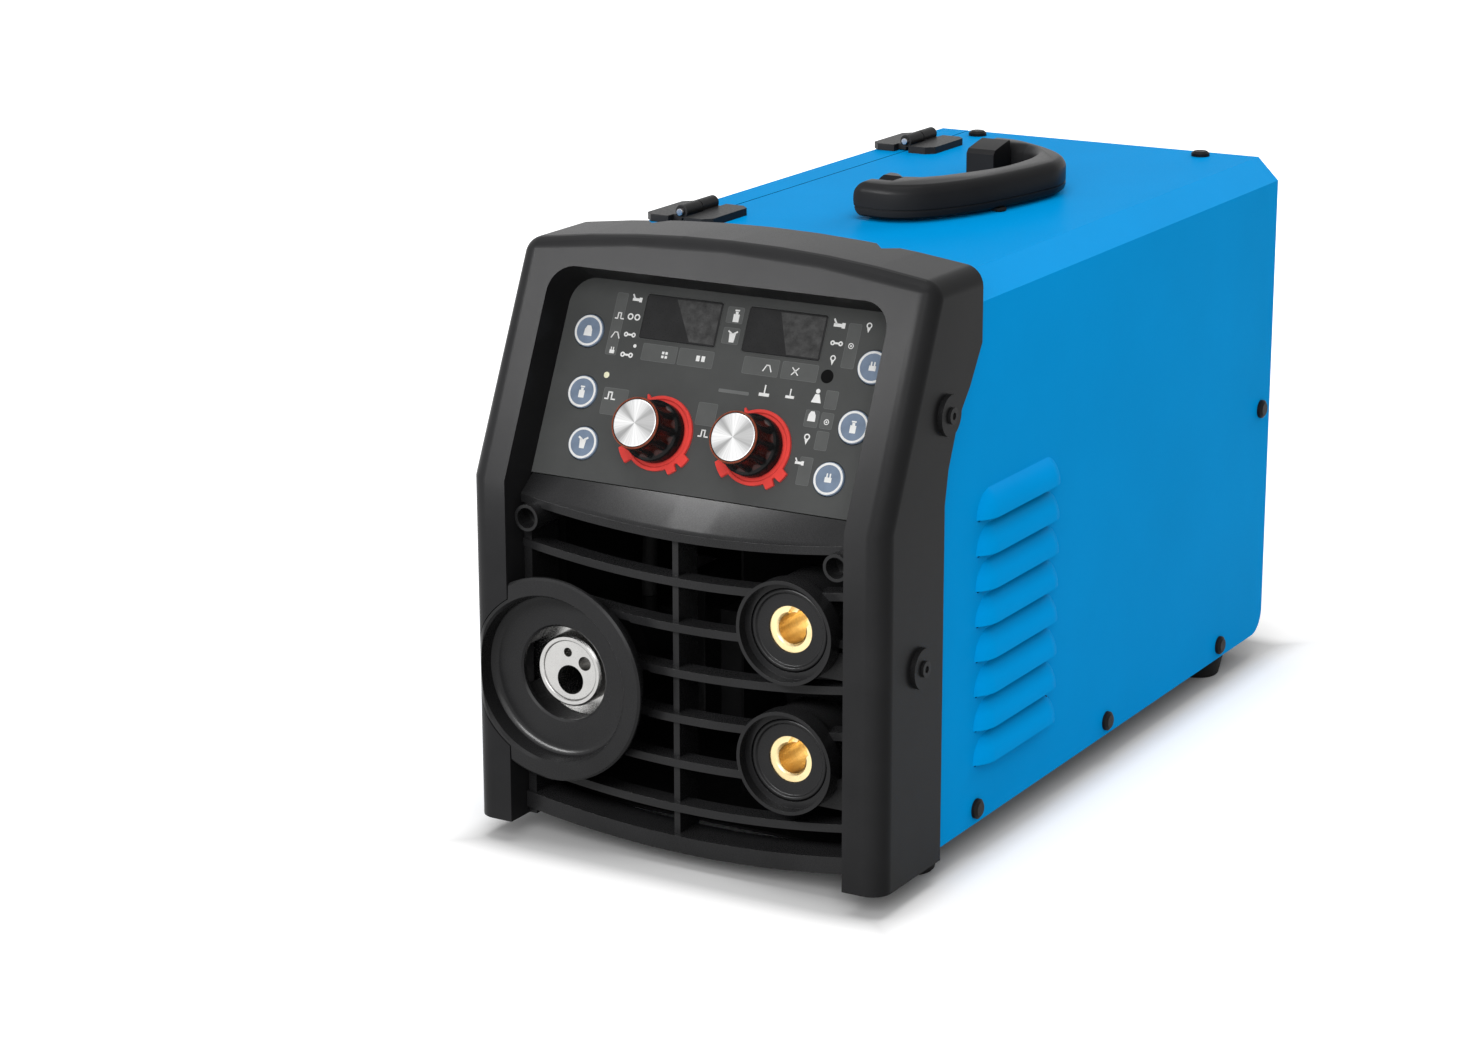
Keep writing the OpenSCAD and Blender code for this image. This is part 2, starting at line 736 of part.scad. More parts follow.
module front_grille() color([0.07, 0.07, 0.075]) difference() {
    union() {
        // slats
        for (k = [0 : slat_n - 1]) along_y(grille_y, slat_d)
            band_outline(slat_top - k * slat_pitch - slat_t, slat_top - k * slat_pitch);
        along_y(grille_y - 1, slat_d + 8) band_outline(low_bar_z - 7.6, low_bar_z);
        // shelf that closes the gap in front of the chassis pan
        along_y(grille_y + slat_d, pan_front - seat_gap - grille_y - slat_d)
            band_outline(low_bar_z - 6, low_bar_z - 3.4);
        ledge();
        // back frame that the slats run into
        both_sides() translate([grille_x - 4, grille_y + 1, low_bar_z - 4])
            cube([4, grille_back - grille_y - 1, ledge_z + 6 - low_bar_z]);
        translate([-7 - rib_t / 2, grille_y + 3, low_bar_z - 4])
            cube([rib_t, slat_d + 6, ledge_z - low_bar_z + 4]);
        // screw posts
        both_sides() ring_y(post_x, post_z, post_r, 6, grille_back - 6);
        // rings around the output sockets
        for (z = socket_z) {
            ring_y(socket_x, z, socket_ring_d / 2, socket_front, ring_l);
            ring_y(socket_x, z, socket_d / 2 + 3, socket_front + ring_l - 1,
                grille_back - socket_front - ring_l + 1);
            translate([socket_x, grille_y + 2, z - 20]) cube([grille_x - socket_x, slat_d, 12]);
        }
        // seat of the torch flange
        ring_y(-torch_x, torch_z, dish_hole_d / 2 + 9, dish_depth + flange_floor + seat_gap, 12);
    }
    both_sides() ring_y(post_x, post_z, post_r - 1.4, 5, 10);
    for (z = socket_z) {
        ring_y(socket_x, z, socket_ring_d / 2 - 1.6, socket_front - 1, housing_face - socket_front + 1);
        ring_y(socket_x, z, socket_d / 2 + seat_gap, socket_front, grille_back);
    }
    ring_y(-torch_x, torch_z, dish_hole_d / 2 + 1.5, 0, 60);
    ring_y(-torch_x, torch_z, dish_hole_d / 2 + 5.5, dish_depth + flange_floor + seat_gap + seat_t, 20);
    intersection() {
        ring_y(-torch_x, torch_z, collar_r + 4.5, -1, dish_depth + flange_floor + seat_gap + 1);
        translate([-opening_x, -2, 0]) cube([opening_x * 2, 60, ledge_z + 2]);
    }
    for (x = [-grille_x - case_w, grille_x]) translate([x, 0, 0]) cube([case_w, frame_l, case_top]);
}

// ---------- control panel ----------

module panel_point(x, s, depth) leaned() translate([x, depth, s]) rotate([90, 0, 0]) children();

module control_panel() color([0.2, 0.205, 0.21]) difference() {
    union() {
        leaned() along_y(panel_depth, panel_t) intersection() {
            opening_outline(panel_margin);
            translate([-case_w, panel_low]) square([2 * case_w, case_w]);
        }
        // posts that carry the control board
        for (sx = [-1, 1], s = [post_low_s, post_high_s]) panel_point(sx * board_post_x, s,
            panel_depth + board_gap) cylinder(r = 3, h = board_gap - panel_t + 0.5);
    }
    for (b = button_places) panel_point(b[0], b[1], panel_depth + panel_t + 1)
        cylinder(r = button_d / 2 + seat_gap, h = panel_t + 2);
    for (sx = [-1, 1]) panel_point(sx * knob_x, knob_s, panel_depth + panel_t + 1)
        cylinder(r = encoder_r + screw_gap, h = panel_t + 2);
    leaned() for (sx = [-1, 1]) along_y(panel_depth - 1, 1.8) translate([sx * display_x, display_s])
        round_rect([display_w + 0.4, display_h + 0.4], 1.2);
}

module display_windows() color([0.05, 0.05, 0.055]) leaned() for (sx = [-1, 1])
    along_y(panel_depth, 0.8) translate([sx * display_x, display_s])
        round_rect([display_w, display_h], 1);

module control_board() color([0.08, 0.3, 0.16]) {
    board_y = panel_depth + board_gap;
    leaned() translate([-opening_x + 4, board_y + eps * 5, panel_low + 6])
        cube([2 * opening_x - 8, board_t, opening_top - panel_low - 10]);
    // encoders
    for (sx = [-1, 1]) difference() {
        union() {
            leaned() translate([sx * knob_x - 6, board_y - 6.5, knob_s - 6]) cube([12, 6.5, 12]);
            panel_point(sx * knob_x, knob_s, board_y - 6) cylinder(r = encoder_r, h = board_gap - 4.5);
        }
        panel_point(sx * knob_x, knob_s, board_y - 1) cylinder(r = encoder_shaft_r + fit, h = board_gap + 6);
    }
    // key switches
    for (b = button_places) {
        leaned() translate([b[0] - 3, board_y - 3.5, b[1] - 3]) cube([6, 3.5, 6]);
        panel_point(b[0], b[1], board_y - 3) cylinder(r = 1.7, h = 1);
    }
}

module knob_rings() color([0.86, 0.16, 0.13]) for (sx = [-1, 1])
    panel_point(sx * knob_x, knob_s, panel_depth - 0.05) difference() {
        union() {
            cylinder(r = knob_d / 2 + 3.5, h = 1.6);
            for (a = [215, 325, 100]) rotate([0, 0, a]) translate([0, -3.5, 0])
                cube([knob_d / 2 + 6.5, 7, 1.6]);
        }
        translate([0, 0, -1]) cylinder(r = encoder_r + screw_gap, h = 4);
    }

// Fluted knob with its shaft; the cap sits in a recess in its front.
module knob() color([0.05, 0.05, 0.055]) {
    low = 2;
    r = knob_d / 2;
    translate([0, 0, low]) difference() {
        union() {
            cylinder(r = r, h = 4);
            translate([0, 0, 4 - eps]) cylinder(r1 = r - 1, r2 = knob_cap_d / 2 + 1.2, h = knob_h - low - 4);
        }
        for (a = [0 : 30 : 330]) rotate([0, 0, a]) translate([r + 0.6, 0, 5])
            cylinder(r = 2.2, h = knob_h - low - 8);
        translate([0, 0, knob_h - low - 0.8]) cylinder(r = knob_cap_d / 2 + 0.1, h = 2);
    }
    translate([0, 0, -board_gap + 2]) cylinder(r = encoder_shaft_r, h = board_gap + 2);
}

module knob_cap() color([0.8, 0.8, 0.82]) translate([0, 0, knob_h - 0.75])
    cylinder(r = knob_cap_d / 2, h = 0.9);

module left_knob() panel_point(-knob_x, knob_s, panel_depth) knob();
module left_knob_cap() panel_point(-knob_x, knob_s, panel_depth) knob_cap();
module right_knob() panel_point(knob_x, knob_s, panel_depth) knob();
module right_knob_cap() panel_point(knob_x, knob_s, panel_depth) knob_cap();

// Push button: cap, retaining flange behind the panel, and stem to the key switch.
module button(k) color([0.3, 0.36, 0.45]) {
    b = button_places[k];
    stem_end = board_gap - 4 - button_travel - seat_gap;
    panel_point(b[0], b[1], panel_depth) {
        translate([0, 0, -panel_t - 1]) cylinder(r = button_d / 2, h = panel_t + 1 + button_travel + 0.2);
        translate([0, 0, -panel_t - 1.5]) cylinder(r = button_d / 2 + 1.2, h = 1.2);
        translate([0, 0, -stem_end]) cylinder(r = stem_r, h = stem_end - panel_t);
    }
}
module button_1() button(0);
module button_2() button(1);
module button_3() button(2);
module button_4() button(3);
module button_5() button(4);
module button_6() button(5);

// ---------- torch connector ----------

// The dish is cut flush with the rounded corner of the frame's left column.
module torch_flange() color([0.09, 0.09, 0.095]) {
    r = dish_d / 2;
    back = dish_depth + flange_floor;
    intersection() {
        translate([-torch_x, 0, torch_z]) rotate([-90, 0, 0]) rotate_extrude() polygon([
            [dish_hole_d / 2, dish_depth + 0.8], [dish_hole_d / 2 + 0.9, dish_depth],
            [r - 4.4, dish_depth - 0.5], [r - 2.4, dish_depth - 1.2], [r - 1.2, dish_depth - 2.6],
            [r - 0.4, 1.2], [r + 0.6, 0], [collar_r, 0.3], [collar_r, back], [dish_hole_d / 2, back]]);
        linear_extrude(kink_z) front_plan();
    }
    intersection() {
        translate([-torch_x, 0, torch_z]) rotate([-90, 0, 0]) rotate_extrude() polygon([
            [collar_r - 0.5, 0.2], [flange_d / 2 - 1, 0.5], [flange_d / 2, 1.4], [flange_d / 2, disc_t],
            [collar_r - 0.5, disc_t]]);
        translate([-grille_x, -1, 0]) cube([case_w, back + 2, case_top]);
    }
}

// Outline of the frame's front edge, seen from above.
module front_plan() {
    translate([-frame_x, frame_r]) square([2 * frame_x, frame_side_l]);
    translate([-frame_cx, 0]) square([2 * frame_cx, frame_r + 1]);
    for (s = [-1, 1]) translate([s * frame_cx, frame_r]) circle(frame_r);
}

module torch_connector() color([0.78, 0.78, 0.76]) {
    r = connector_d / 2;
    nut_y = dish_depth + flange_floor + seat_t + 2 * seat_gap;
    difference() {
        union() {
            translate([-torch_x, connector_depth, torch_z]) rotate([-90, 0, 0]) rotate_extrude()
                polygon([[0, face_sink], [r - 3, face_sink], [r - 2.6, 0.3], [r - 2.1, 0], [r - 0.9, 0],
                    [r, 0.9], [r, front_body_l], [0, front_body_l]]);
            ring_y(-torch_x, torch_z, dish_hole_d / 2 + 5, nut_y, 4);
            ring_y(-torch_x, wire_z, rear_body_r, connector_depth + front_body_l - eps,
                clamp_y + clamp_l + 2 - connector_depth - front_body_l);
            // gas port
            translate([-torch_x, hose_y, wire_z]) cylinder(r = hose_r, h = rear_body_r + 12 - seat_gap);
        }
        ring_y(-torch_x, wire_z, torch_bore_d / 2, connector_depth - 1, torch_bore_l + 1);
        ring_y(-torch_x, wire_z, 2, connector_depth, 120);
        ring_y(-torch_x - 1.1, torch_z + 8.2, 2.1, connector_depth - 1, 13);
        ring_y(-torch_x + 7.6, torch_z + 4.2, 3.2, connector_depth - 1, 13);
    }
}

// ---------- output sockets ----------

module socket_housings() color([0.06, 0.06, 0.065]) for (z = socket_z) difference() {
    union() {
        translate([socket_x, housing_face, z]) rotate([-90, 0, 0]) rotate_extrude() polygon([
            [0, 1.2], [socket_d / 2 - 2.4, 1.2], [socket_d / 2 - 1.6, 0], [socket_d / 2 - 0.6, 0],
            [socket_d / 2, 0.6], [socket_d / 2, housing_l], [0, housing_l]]);
        ring_y(socket_x, z, socket_d / 2 + 3, grille_back + seat_gap, 5);
    }
    ring_y(socket_x, z, insert_d / 2 + 0.1, housing_face - 1, housing_l + 2);
}

module socket_inserts() color([0.86, 0.68, 0.34]) for (z = socket_z) {
    front = housing_face + insert_sink;
    difference() {
        union() {
            ring_y(socket_x, z, insert_d / 2, front, insert_l);
            ring_y(socket_x, z, 5, front + insert_l - eps, 12);
        }
        ring_y(socket_x, z, insert_bore / 2, front - 1, insert_depth + 1);
        // countersunk mouth
        translate([socket_x, front, z]) rotate([-90, 0, 0])
            cylinder(r1 = insert_bore / 2 + insert_lead, r2 = insert_bore / 2, h = insert_lead);
        // keyway, open at the front edge
        translate([socket_x, front - 1, z]) rotate([0, -keyway_turn, 0]) {
            translate([0, 0, -2.8]) cube([insert_bore / 2 + 2.4, 10, 5.6]);
            translate([insert_bore / 2 - 2, 0, -5.2]) cube([insert_d / 2, 4.5, 10.4]);
        }
    }
}

// Copper links from the power stage to the sockets' studs.
module output_links() color([0.8, 0.45, 0.3]) {
    stud_y = housing_face + insert_sink + insert_l + 4;
    for (k = [0, 1]) difference() {
        translate([socket_x - 8, stud_y, socket_z[k] - 8]) union() {
            cube([20, 3, 16]);
            translate([17, 0, 0]) cube([3, link_end[k] - stud_y, 16]);
        }
        ring_y(socket_x, socket_z[k], 5.2, stud_y - 1, 5);
    }
}

// ---------- wire feeder ----------

module feed_plate() color([0.75, 0.76, 0.78]) difference() {
    union() {
        translate([plate_face, clamp_y - 4, drive_z - 26])
            cube([plate_t, rod_pivot[0] + 30 - clamp_y, 74]);
        // clamp around the torch connector
        translate([wire_x - 13, clamp_y, wire_z - 13]) cube([plate_face - wire_x + 13 + eps, clamp_l, 26]);
        // inlet guide
        translate([wire_x - 5, rod_pivot[0] + 9, wire_z - 5])
            cube([plate_face - wire_x + 5 + eps, 12, 10]);
        ring_y(wire_x, wire_z, 4, rod_pivot[0] + 9 - 8, 8 + eps);
        // pivot studs of the pressure arm and the tension rod
        rod_x([plate_face - arm_t - 4, arm_pivot[0], arm_pivot[1]], pivot_stud_r, arm_t + 4 + eps);
        rod_x([plate_face - arm_t - 4, rod_pivot[0], rod_pivot[1]], pivot_stud_r, arm_t + 4 + eps);
    }
    ring_y(wire_x, wire_z, rear_body_r + 0.1, clamp_y - 1, clamp_l + 2);
    ring_y(wire_x, wire_z, 1.6, rod_pivot[0], 60);
    rod_x([plate_face - 1, roll_y, drive_z], motor_shaft_r + 1, plate_t + 2);
}

module feed_motor() color([0.3, 0.31, 0.33]) difference() {
    union() {
        translate([plate_x + 0.05, roll_y - gearbox_w / 2, drive_z - gearbox_w / 2])
            cube([wall_x - sheet_t - plate_x - 0.1, gearbox_w, gearbox_w]);
        rod_x([wall_x - sheet_t - 1, roll_y, drive_z], motor_r, motor_l);
        rod_x([wall_x - sheet_t + motor_l - 2, roll_y, drive_z], 8, 6);
    }
    rod_x([plate_x - 1, roll_y, drive_z], motor_shaft_r + fit, 20);
}

module drive_roll() color([0.72, 0.72, 0.74]) {
    difference() {
        rod_x([wire_x - roll_w / 2, roll_y, drive_z], drive_roll_r, roll_w);
        // wire groove
        translate([wire_x, roll_y, drive_z]) rotate([0, 90, 0]) rotate_extrude()
            polygon([[drive_roll_r - 0.8, 0], [drive_roll_r + 1, -1.6], [drive_roll_r + 1, 1.6]]);
    }
    rod_x([wire_x - roll_w / 2 - 4, roll_y, drive_z], motor_shaft_r, plate_x + 16 - wire_x + roll_w / 2 + 4);
    rod_x([wire_x - roll_w / 2 - 4, roll_y, drive_z], 7, 4 + eps);
}

module pressure_arm() color([0.13, 0.13, 0.14]) difference() {
    union() {
        along_x(arm_x - arm_t, arm_t) {
            translate([arm_pivot[0], arm_pivot[1] - arm_h / 2])
                square([rod_pivot[0] + 5 - arm_pivot[0], arm_h]);
            translate(arm_pivot) circle(arm_h / 2 + 0.5);
            translate([roll_y, press_z]) circle(9);
            translate([roll_y - 9, press_z]) square([18, arm_pivot[1] - press_z]);
        }
        rod_x([wire_x - roll_w / 2 - 1, roll_y, press_z], roll_axle_r, arm_x - wire_x + roll_w / 2);
        rod_x([wire_x - roll_w / 2 - 3, roll_y, press_z], roll_axle_r + 2, 2);
    }
    rod_x([arm_x - arm_t - 1, arm_pivot[0], arm_pivot[1]], pivot_stud_r + fit, arm_t + 2);
    // fork for the tension rod
    translate([tension_x - rod_r - 0.6, rod_pivot[0] - rod_r - 1.5, arm_pivot[1] - arm_h])
        cube([2 * rod_r + 1.2, 20, 2 * arm_h]);
}

module pressure_roll() color([0.6, 0.6, 0.62]) difference() {
    rod_x([wire_x - roll_w / 2 + 0.4, roll_y, press_z], press_roll_r, roll_w - 0.8);
    rod_x([wire_x - roll_w, roll_y, press_z], roll_axle_r + fit, 2 * roll_w);
}

// Places a child along the tension rod, leaned to the rear from its pivot.
module on_rod() translate([tension_x, rod_pivot[0], rod_pivot[1]]) rotate([-rod_lean, 0, 0]) children();

module tension_rod() color([0.7, 0.7, 0.72]) on_rod() difference() {
    union() {
        translate([-3.5, 0, 0]) rotate([0, 90, 0]) cylinder(r = 6, h = 7);
        translate([0, 0, 4]) cylinder(r = rod_r, h = collar_low + collar_h + tension_spring_l + 5);
        translate([0, 0, collar_low]) cylinder(r = 6, h = collar_h);
    }
    translate([-5, 0, 0]) rotate([0, 90, 0]) cylinder(r = pivot_stud_r + fit, h = 10);
}

module tension_spring() color([0.5, 0.5, 0.52]) on_rod()
    translate([0, 0, collar_low + collar_h]) difference() {
        cylinder(r = 4.6, h = tension_spring_l);
        translate([0, 0, -1]) cylinder(r = rod_r + 0.6, h = tension_spring_l + 2);
    }

module tension_knob() color([0.75, 0.1, 0.08]) on_rod()
    translate([0, 0, collar_low + collar_h + tension_spring_l + seat_gap]) difference() {
        cylinder(r = 8, h = tension_knob_h);
        translate([0, 0, -1]) cylinder(r = rod_r + fit, h = 10);
        for (a = [0 : 45 : 315]) rotate([0, 0, a]) translate([8.6, 0, 2])
            cylinder(r = 1.6, h = tension_knob_h);
    }

// ---------- wire spool ----------

module spool_spindle() color([0.3, 0.3, 0.32]) {
    rod_x([wall_x - sheet_t - 5, spool_y, spool_z], 24, 5);
    rod_x([hub_end_x, spool_y, spool_z], spindle_r, wall_x - sheet_t - 4 - hub_end_x);
    rod_x([wall_x - sheet_t - 1, spool_y, spool_z], spindle_r, sheet_t + 1);
}

module spool_hub() color([0.12, 0.12, 0.13]) difference() {
    union() {
        rod_x([spool_x - spool_w / 2 - 0.5, spool_y, spool_z], hub_r, spool_w + 4.2);
        rod_x([spool_x + spool_w / 2 + 0.2, spool_y, spool_z], hub_r + 8, 3.5);
        // retaining nut
        rod_x([spool_x - spool_w / 2 - 11, spool_y, spool_z], hub_r + 4, 10);
    }
    rod_x([hub_end_x - 1, spool_y, spool_z], spindle_r + fit, case_w);
    for (a = [0 : 60 : 300]) rod_x([spool_x - spool_w / 2 - 12, spool_y + (hub_r + 8) * cos(a),
        spool_z + (hub_r + 8) * sin(a)], 7, 11.5);
}

module wire_spool() color([0.1, 0.1, 0.11]) difference() {
    union() {
        rod_x([spool_x - spool_w / 2, spool_y, spool_z], core_r, spool_w);
        for (x = [spool_x - spool_w / 2, spool_x + spool_w / 2 - flange_t])
            rod_x([x, spool_y, spool_z], spool_r, flange_t);
    }
    rod_x([spool_x - spool_w, spool_y, spool_z], hub_r + 0.1, 2 * spool_w);
    // hollow core on both sides of a middle web
    for (x = [spool_x - spool_w / 2 - 1, spool_x + 2]) difference() {
        rod_x([x, spool_y, spool_z], core_r - 3, spool_w / 2 - 1);
        rod_x([x - 1, spool_y, spool_z], hub_r + 4, spool_w);
    }
    for (a = [0 : 60 : 300]) rod_x([spool_x - spool_w, spool_y + (spool_r - 22) * cos(a),
        spool_z + (spool_r - 22) * sin(a)], 10, spool_w / 2 + flange_t + 1);
}

module wound_wire() color([0.72, 0.45, 0.3]) difference() {
    rod_x([spool_x - spool_w / 2 + flange_t, spool_y, spool_z], spool_r * 0.9, spool_w - 2 * flange_t);
    rod_x([spool_x - spool_w, spool_y, spool_z], core_r + 0.1, 2 * spool_w);
}

// ---------- fan ----------

module fan_frame() color([0.05, 0.05, 0.055]) difference() {
    union() {
        difference() {
            translate([fan_x - fan_w / 2, rear_inner_y - fan_t, fan_z - fan_w / 2])
                cube([fan_w, fan_t, fan_w]);
            rod_y([fan_x, rear_inner_y - fan_t - 1, fan_z], fan_bore, fan_t + 2);
        }
        rod_y([fan_x, rear_inner_y - fan_t, fan_z], fan_hub_r, 3.5);
        for (a = [45 : 90 : 315]) translate([fan_x, rear_inner_y - fan_t, fan_z]) rotate([0, a, 0])
            translate([-1.5, 0, 0]) cube([3, 3, fan_bore + 1]);
        rod_y([fan_x, rear_inner_y - fan_t, fan_z], 2, fan_t - 7);
    }
    for (sx = [-1, 1], sz = [-1, 1]) rod_y([fan_x + sx * fan_hole, rear_inner_y - fan_t - 1,
        fan_z + sz * fan_hole], screw_r + screw_gap, fan_t + 2);
}

module fan_rotor() color([0.07, 0.07, 0.075]) difference() {
    union() {
        rod_y([fan_x, rear_inner_y - fan_t + 4, fan_z], fan_hub_r, fan_t - 5.5);
        for (k = [0 : 6]) translate([fan_x, rear_inner_y - fan_t / 2 + 1.2, fan_z])
            rotate([0, 360 / 7 * k, 0]) rotate([0, 0, 40])
                translate([-(fan_t - 7) / 2, -0.8, fan_hub_r - 2])
                    cube([fan_t - 7, 1.6, fan_bore - fan_hub_r - 0.5]);
    }
    rod_y([fan_x, rear_inner_y - fan_t, fan_z], 2 + fit, fan_t - 6);
}

module fan_guard() color([0.6, 0.6, 0.62]) {
    guard_y = rear_y + 0.05;
    for (r = [12 : 9 : guard_r]) difference() {
        rod_y([fan_x, guard_y, fan_z], r, 2.2);
        rod_y([fan_x, guard_y - 1, fan_z], r - 2, 5);
    }
    for (a = [0 : 90 : 270]) translate([fan_x, guard_y, fan_z]) rotate([0, a + 45, 0])
        difference() {
            translate([-1.1, 0, 10.5]) cube([2.2, 2, fan_hole * sqrt(2) - 10]);
            rod_y([0, -1, fan_hole * sqrt(2)], 3, 5);
        }
    for (sx = [-1, 1], sz = [-1, 1]) difference() {
        rod_y([fan_x + sx * fan_hole, guard_y, fan_z + sz * fan_hole], 4.6, 2);
        rod_y([fan_x + sx * fan_hole, guard_y - 1, fan_z + sz * fan_hole], screw_r + screw_gap, 5);
    }
}

// ---------- electronics ----------

module heat_sink() color([0.72, 0.73, 0.75]) {
    base = 8;
    translate([wall_x + 0.05, sink_y, sink_z]) {
        cube([base, sink_l, sink_h]);
        for (k = [0 : 5]) translate([base - eps, 0, 3 + k * (sink_h - 8) / 5])
            cube([sink_w - base, sink_l, 2.4]);
    }
}

module inverter_board() color([0.08, 0.3, 0.16]) {
    translate([wall_x + 3, sink_y - 15, board_z + 0.05]) cube([pcb_w, pcb_l, board_t]);
    // power modules and small transformer
    for (k = [0 : 3]) translate([wall_x + 8, sink_y + k * (module_l + 10), board_z + board_t])
        cube([module_w, module_l, module_h]);
    translate([wall_x + module_w + 22, sink_y - 8, board_z + board_t])
        cube([module_l + 4, module_l + 6, module_h + 14]);
}

module capacitors() color([0.1, 0.12, 0.2]) for (k = [0 : 2])
    translate([wall_x + 4.5 * capacitor_r, sink_y + 50 + k * capacitor_pitch, board_z + board_t + 0.05])
        cylinder(r = capacitor_r, h = capacitor_h);

module transformer() translate([fan_x - core_w / 2, core_y, floor_z + 0.05]) {
    slot_w = core_w / 6.4;
    limb_w = core_w - 2 * core_limb - 2 * slot_w;
    color([0.2, 0.2, 0.21]) difference() {
        cube([core_w, core_l, core_h]);
        for (x = [core_limb, core_w - core_limb - slot_w]) translate([x, -1, core_limb])
            cube([slot_w, core_l + 2, core_h - 2 * core_limb]);
    }
    color([0.8, 0.6, 0.1]) difference() {
        translate([core_limb + 0.2, -winding_out, core_limb + 0.2])
            cube([core_w - 2 * core_limb - 0.4, core_l + 2 * winding_out, core_h - 2 * core_limb - 0.4]);
        translate([core_limb + slot_w - 0.2, -winding_out - 1, core_limb - 1])
            cube([limb_w + 0.4, core_l + 2 * winding_out + 2, core_h]);
    }
}

module output_choke() color([0.75, 0.5, 0.2]) translate([fan_x, choke_y, floor_z + 0.05]) difference() {
    cylinder(r = choke_r, h = choke_h);
    translate([0, 0, -1]) cylinder(r = choke_bore, h = choke_h + 2);
}

// ---------- gas ----------

module gas_nipple() color([0.82, 0.68, 0.36]) {
    translate([nipple_x, 0, inlet_z]) difference() {
        union() {
            rod_y([0, rear_inner_y - 12, 0], nipple_thread_r, sheet_t + 16);
            rod_y([0, rear_y + 0.05, 0], 9, 5);
            rod_y([0, rear_y + 4, 0], nipple_r, case_l + nipple_out - rear_y - 4);
        }
        rod_y([0, rear_inner_y - 13, 0], 2.5, 100);
    }
}

module gas_valve() color([0.25, 0.26, 0.28]) {
    back = rear_inner_y - 12 - seat_gap;
    translate([nipple_x - 12, back - 26, inlet_z - 12]) cube([24, 26, 24]);
    rod_y([nipple_x, valve_front, inlet_z], hose_r, back - 26 - valve_front + eps);
    translate([nipple_x, back - 13, inlet_z + 12 - eps]) cylinder(r = 11, h = 26);
    translate([wall_x + 0.1, back - 22, inlet_z - 8]) cube([nipple_x - 12 - wall_x, 18, 3]);
}

// Point on a smooth curve through p, at t from 0 to 1 between p[k] and p[k + 1].
function curve_point(p, k, t) = let (
    a = p[max(k - 1, 0)], b = p[k], c = p[k + 1], d = p[min(k + 2, len(p) - 1)])
    0.5 * (2 * b + (c - a) * t + (2 * a - 5 * b + 4 * c - d) * t * t
        + (3 * b - a - 3 * c + d) * t * t * t);

function unit(v) = v / norm(v);

// Tube of radius r along a smooth curve through the points p.
module swept_tube(p, r, steps, sides) {
    path = [for (k = [0 : len(p) - 2], i = [0 : steps - 1]) curve_point(p, k, i / steps),
        p[len(p) - 1]];
    n = len(path);
    loft([for (i = [0 : n - 1])
        let (t = unit(path[min(i + 1, n - 1)] - path[max(i - 1, 0)]),
            side = unit(cross(t, abs(t[2]) > 0.9 ? [0, 1, 0] : [0, 0, 1])), up = cross(side, t))
        [for (k = [0 : sides - 1]) path[i] + r * (cos(360 * k / sides) * side + sin(360 * k / sides) * up)]]);
}

hose_route = [[nipple_x, valve_front - seat_gap, inlet_z], [nipple_x, valve_front - 9, inlet_z + 1],
    [16, 325, 178], [10, 312, 212], [3, 270, 240], [3, 190, 244], [3, 125, 236], [6, 95, 200],
    [4, 85, 165], [-9, hose_y, hose_cross_z], [-30, hose_y, 148], [-58, hose_y, 134],
    [-torch_x, hose_y, hose_end_z + 12], [-torch_x, hose_y, hose_end_z]];

module gas_hose() color([0.1, 0.1, 0.1]) swept_tube(hose_route, hose_r, 5, 8);

// ---------- rear fittings ----------

module mains_gland() color([0.07, 0.07, 0.075]) translate([gland_x, 0, inlet_z]) difference() {
    union() {
        rod_y([0, rear_inner_y - 10, 0], gland_thread_r, sheet_t + 12);
        translate([0, rear_y + 0.05, 0]) rotate([-90, 0, 0]) cylinder(r = 13, h = 6, $fn = 6);
        rod_y([0, rear_y + 5, 0], 11, 6);
        translate([0, rear_y + 11 - eps, 0]) rotate([-90, 0, 0]) cylinder(r1 = 11, r2 = 8, h = 4);
        translate([0, rear_inner_y - 6, 0]) rotate([-90, 0, 0]) cylinder(r = 12, h = 5.9, $fn = 6);
    }
    rod_y([0, rear_inner_y - 11, 0], gland_bore, 100);
}

module switch_housing() color([0.06, 0.06, 0.065]) translate([switch_x, 0, switch_z]) difference() {
    union() {
        along_y(rear_y + 0.05, 2) round_rect([switch_body[0] + 6, switch_body[1] + 6], 2);
        along_y(rear_y - 22, 22.1) square(switch_body, center = true);
        for (z = [-9, 0, 9]) translate([-3, rear_y - 30, z - 0.5]) cube([6, 8.1, 1]);
    }
    along_y(rear_y - 12, 16) square([rocker_size[0] + 0.8, rocker_size[1] + 3.4], center = true);
    rod_x([-20, rocker_y, 0], 1.5 + fit, 40);
}

module switch_rocker() color([0.8, 0.08, 0.06]) translate([switch_x, rocker_y, switch_z])
    rotate([rocker_tilt, 0, 0]) {
        h = rocker_size[1] / 2;
        along_x(-rocker_size[0] / 2, rocker_size[0]) polygon([[-4, -h + 5], [5.5, -h], [8, -h + 0.6],
            [5.8, 0], [8, h - 0.6], [5.5, h], [-4, h - 5]]);
        rod_x([-switch_body[0] / 2 + 0.2, 0, 0], 1.5, switch_body[0] - 0.4);
    }

// ---------- hinges, handle, latch ----------

// Leaf to the right of the hinge's axis; its knuckle covers y from a to b.
module leaf(a, b) {
    difference() {
        union() {
            translate([0, 0, case_top - hinge_z]) linear_extrude(leaf_t) intersection() {
                cut_rect([hinge_w, hinge_l], 4);
                translate([knuckle_r + 0.9, -hinge_l]) square([hinge_w, 2 * hinge_l]);
            }
            rod_y([0, a, 0], knuckle_r, b - a);
            translate([0, a, case_top - hinge_z + 0.4]) cube([knuckle_r + 2, b - a, leaf_t - 0.4]);
        }
        rod_y([0, -hinge_l, 0], hinge_pin_r + fit, 2 * hinge_l);
    }
}

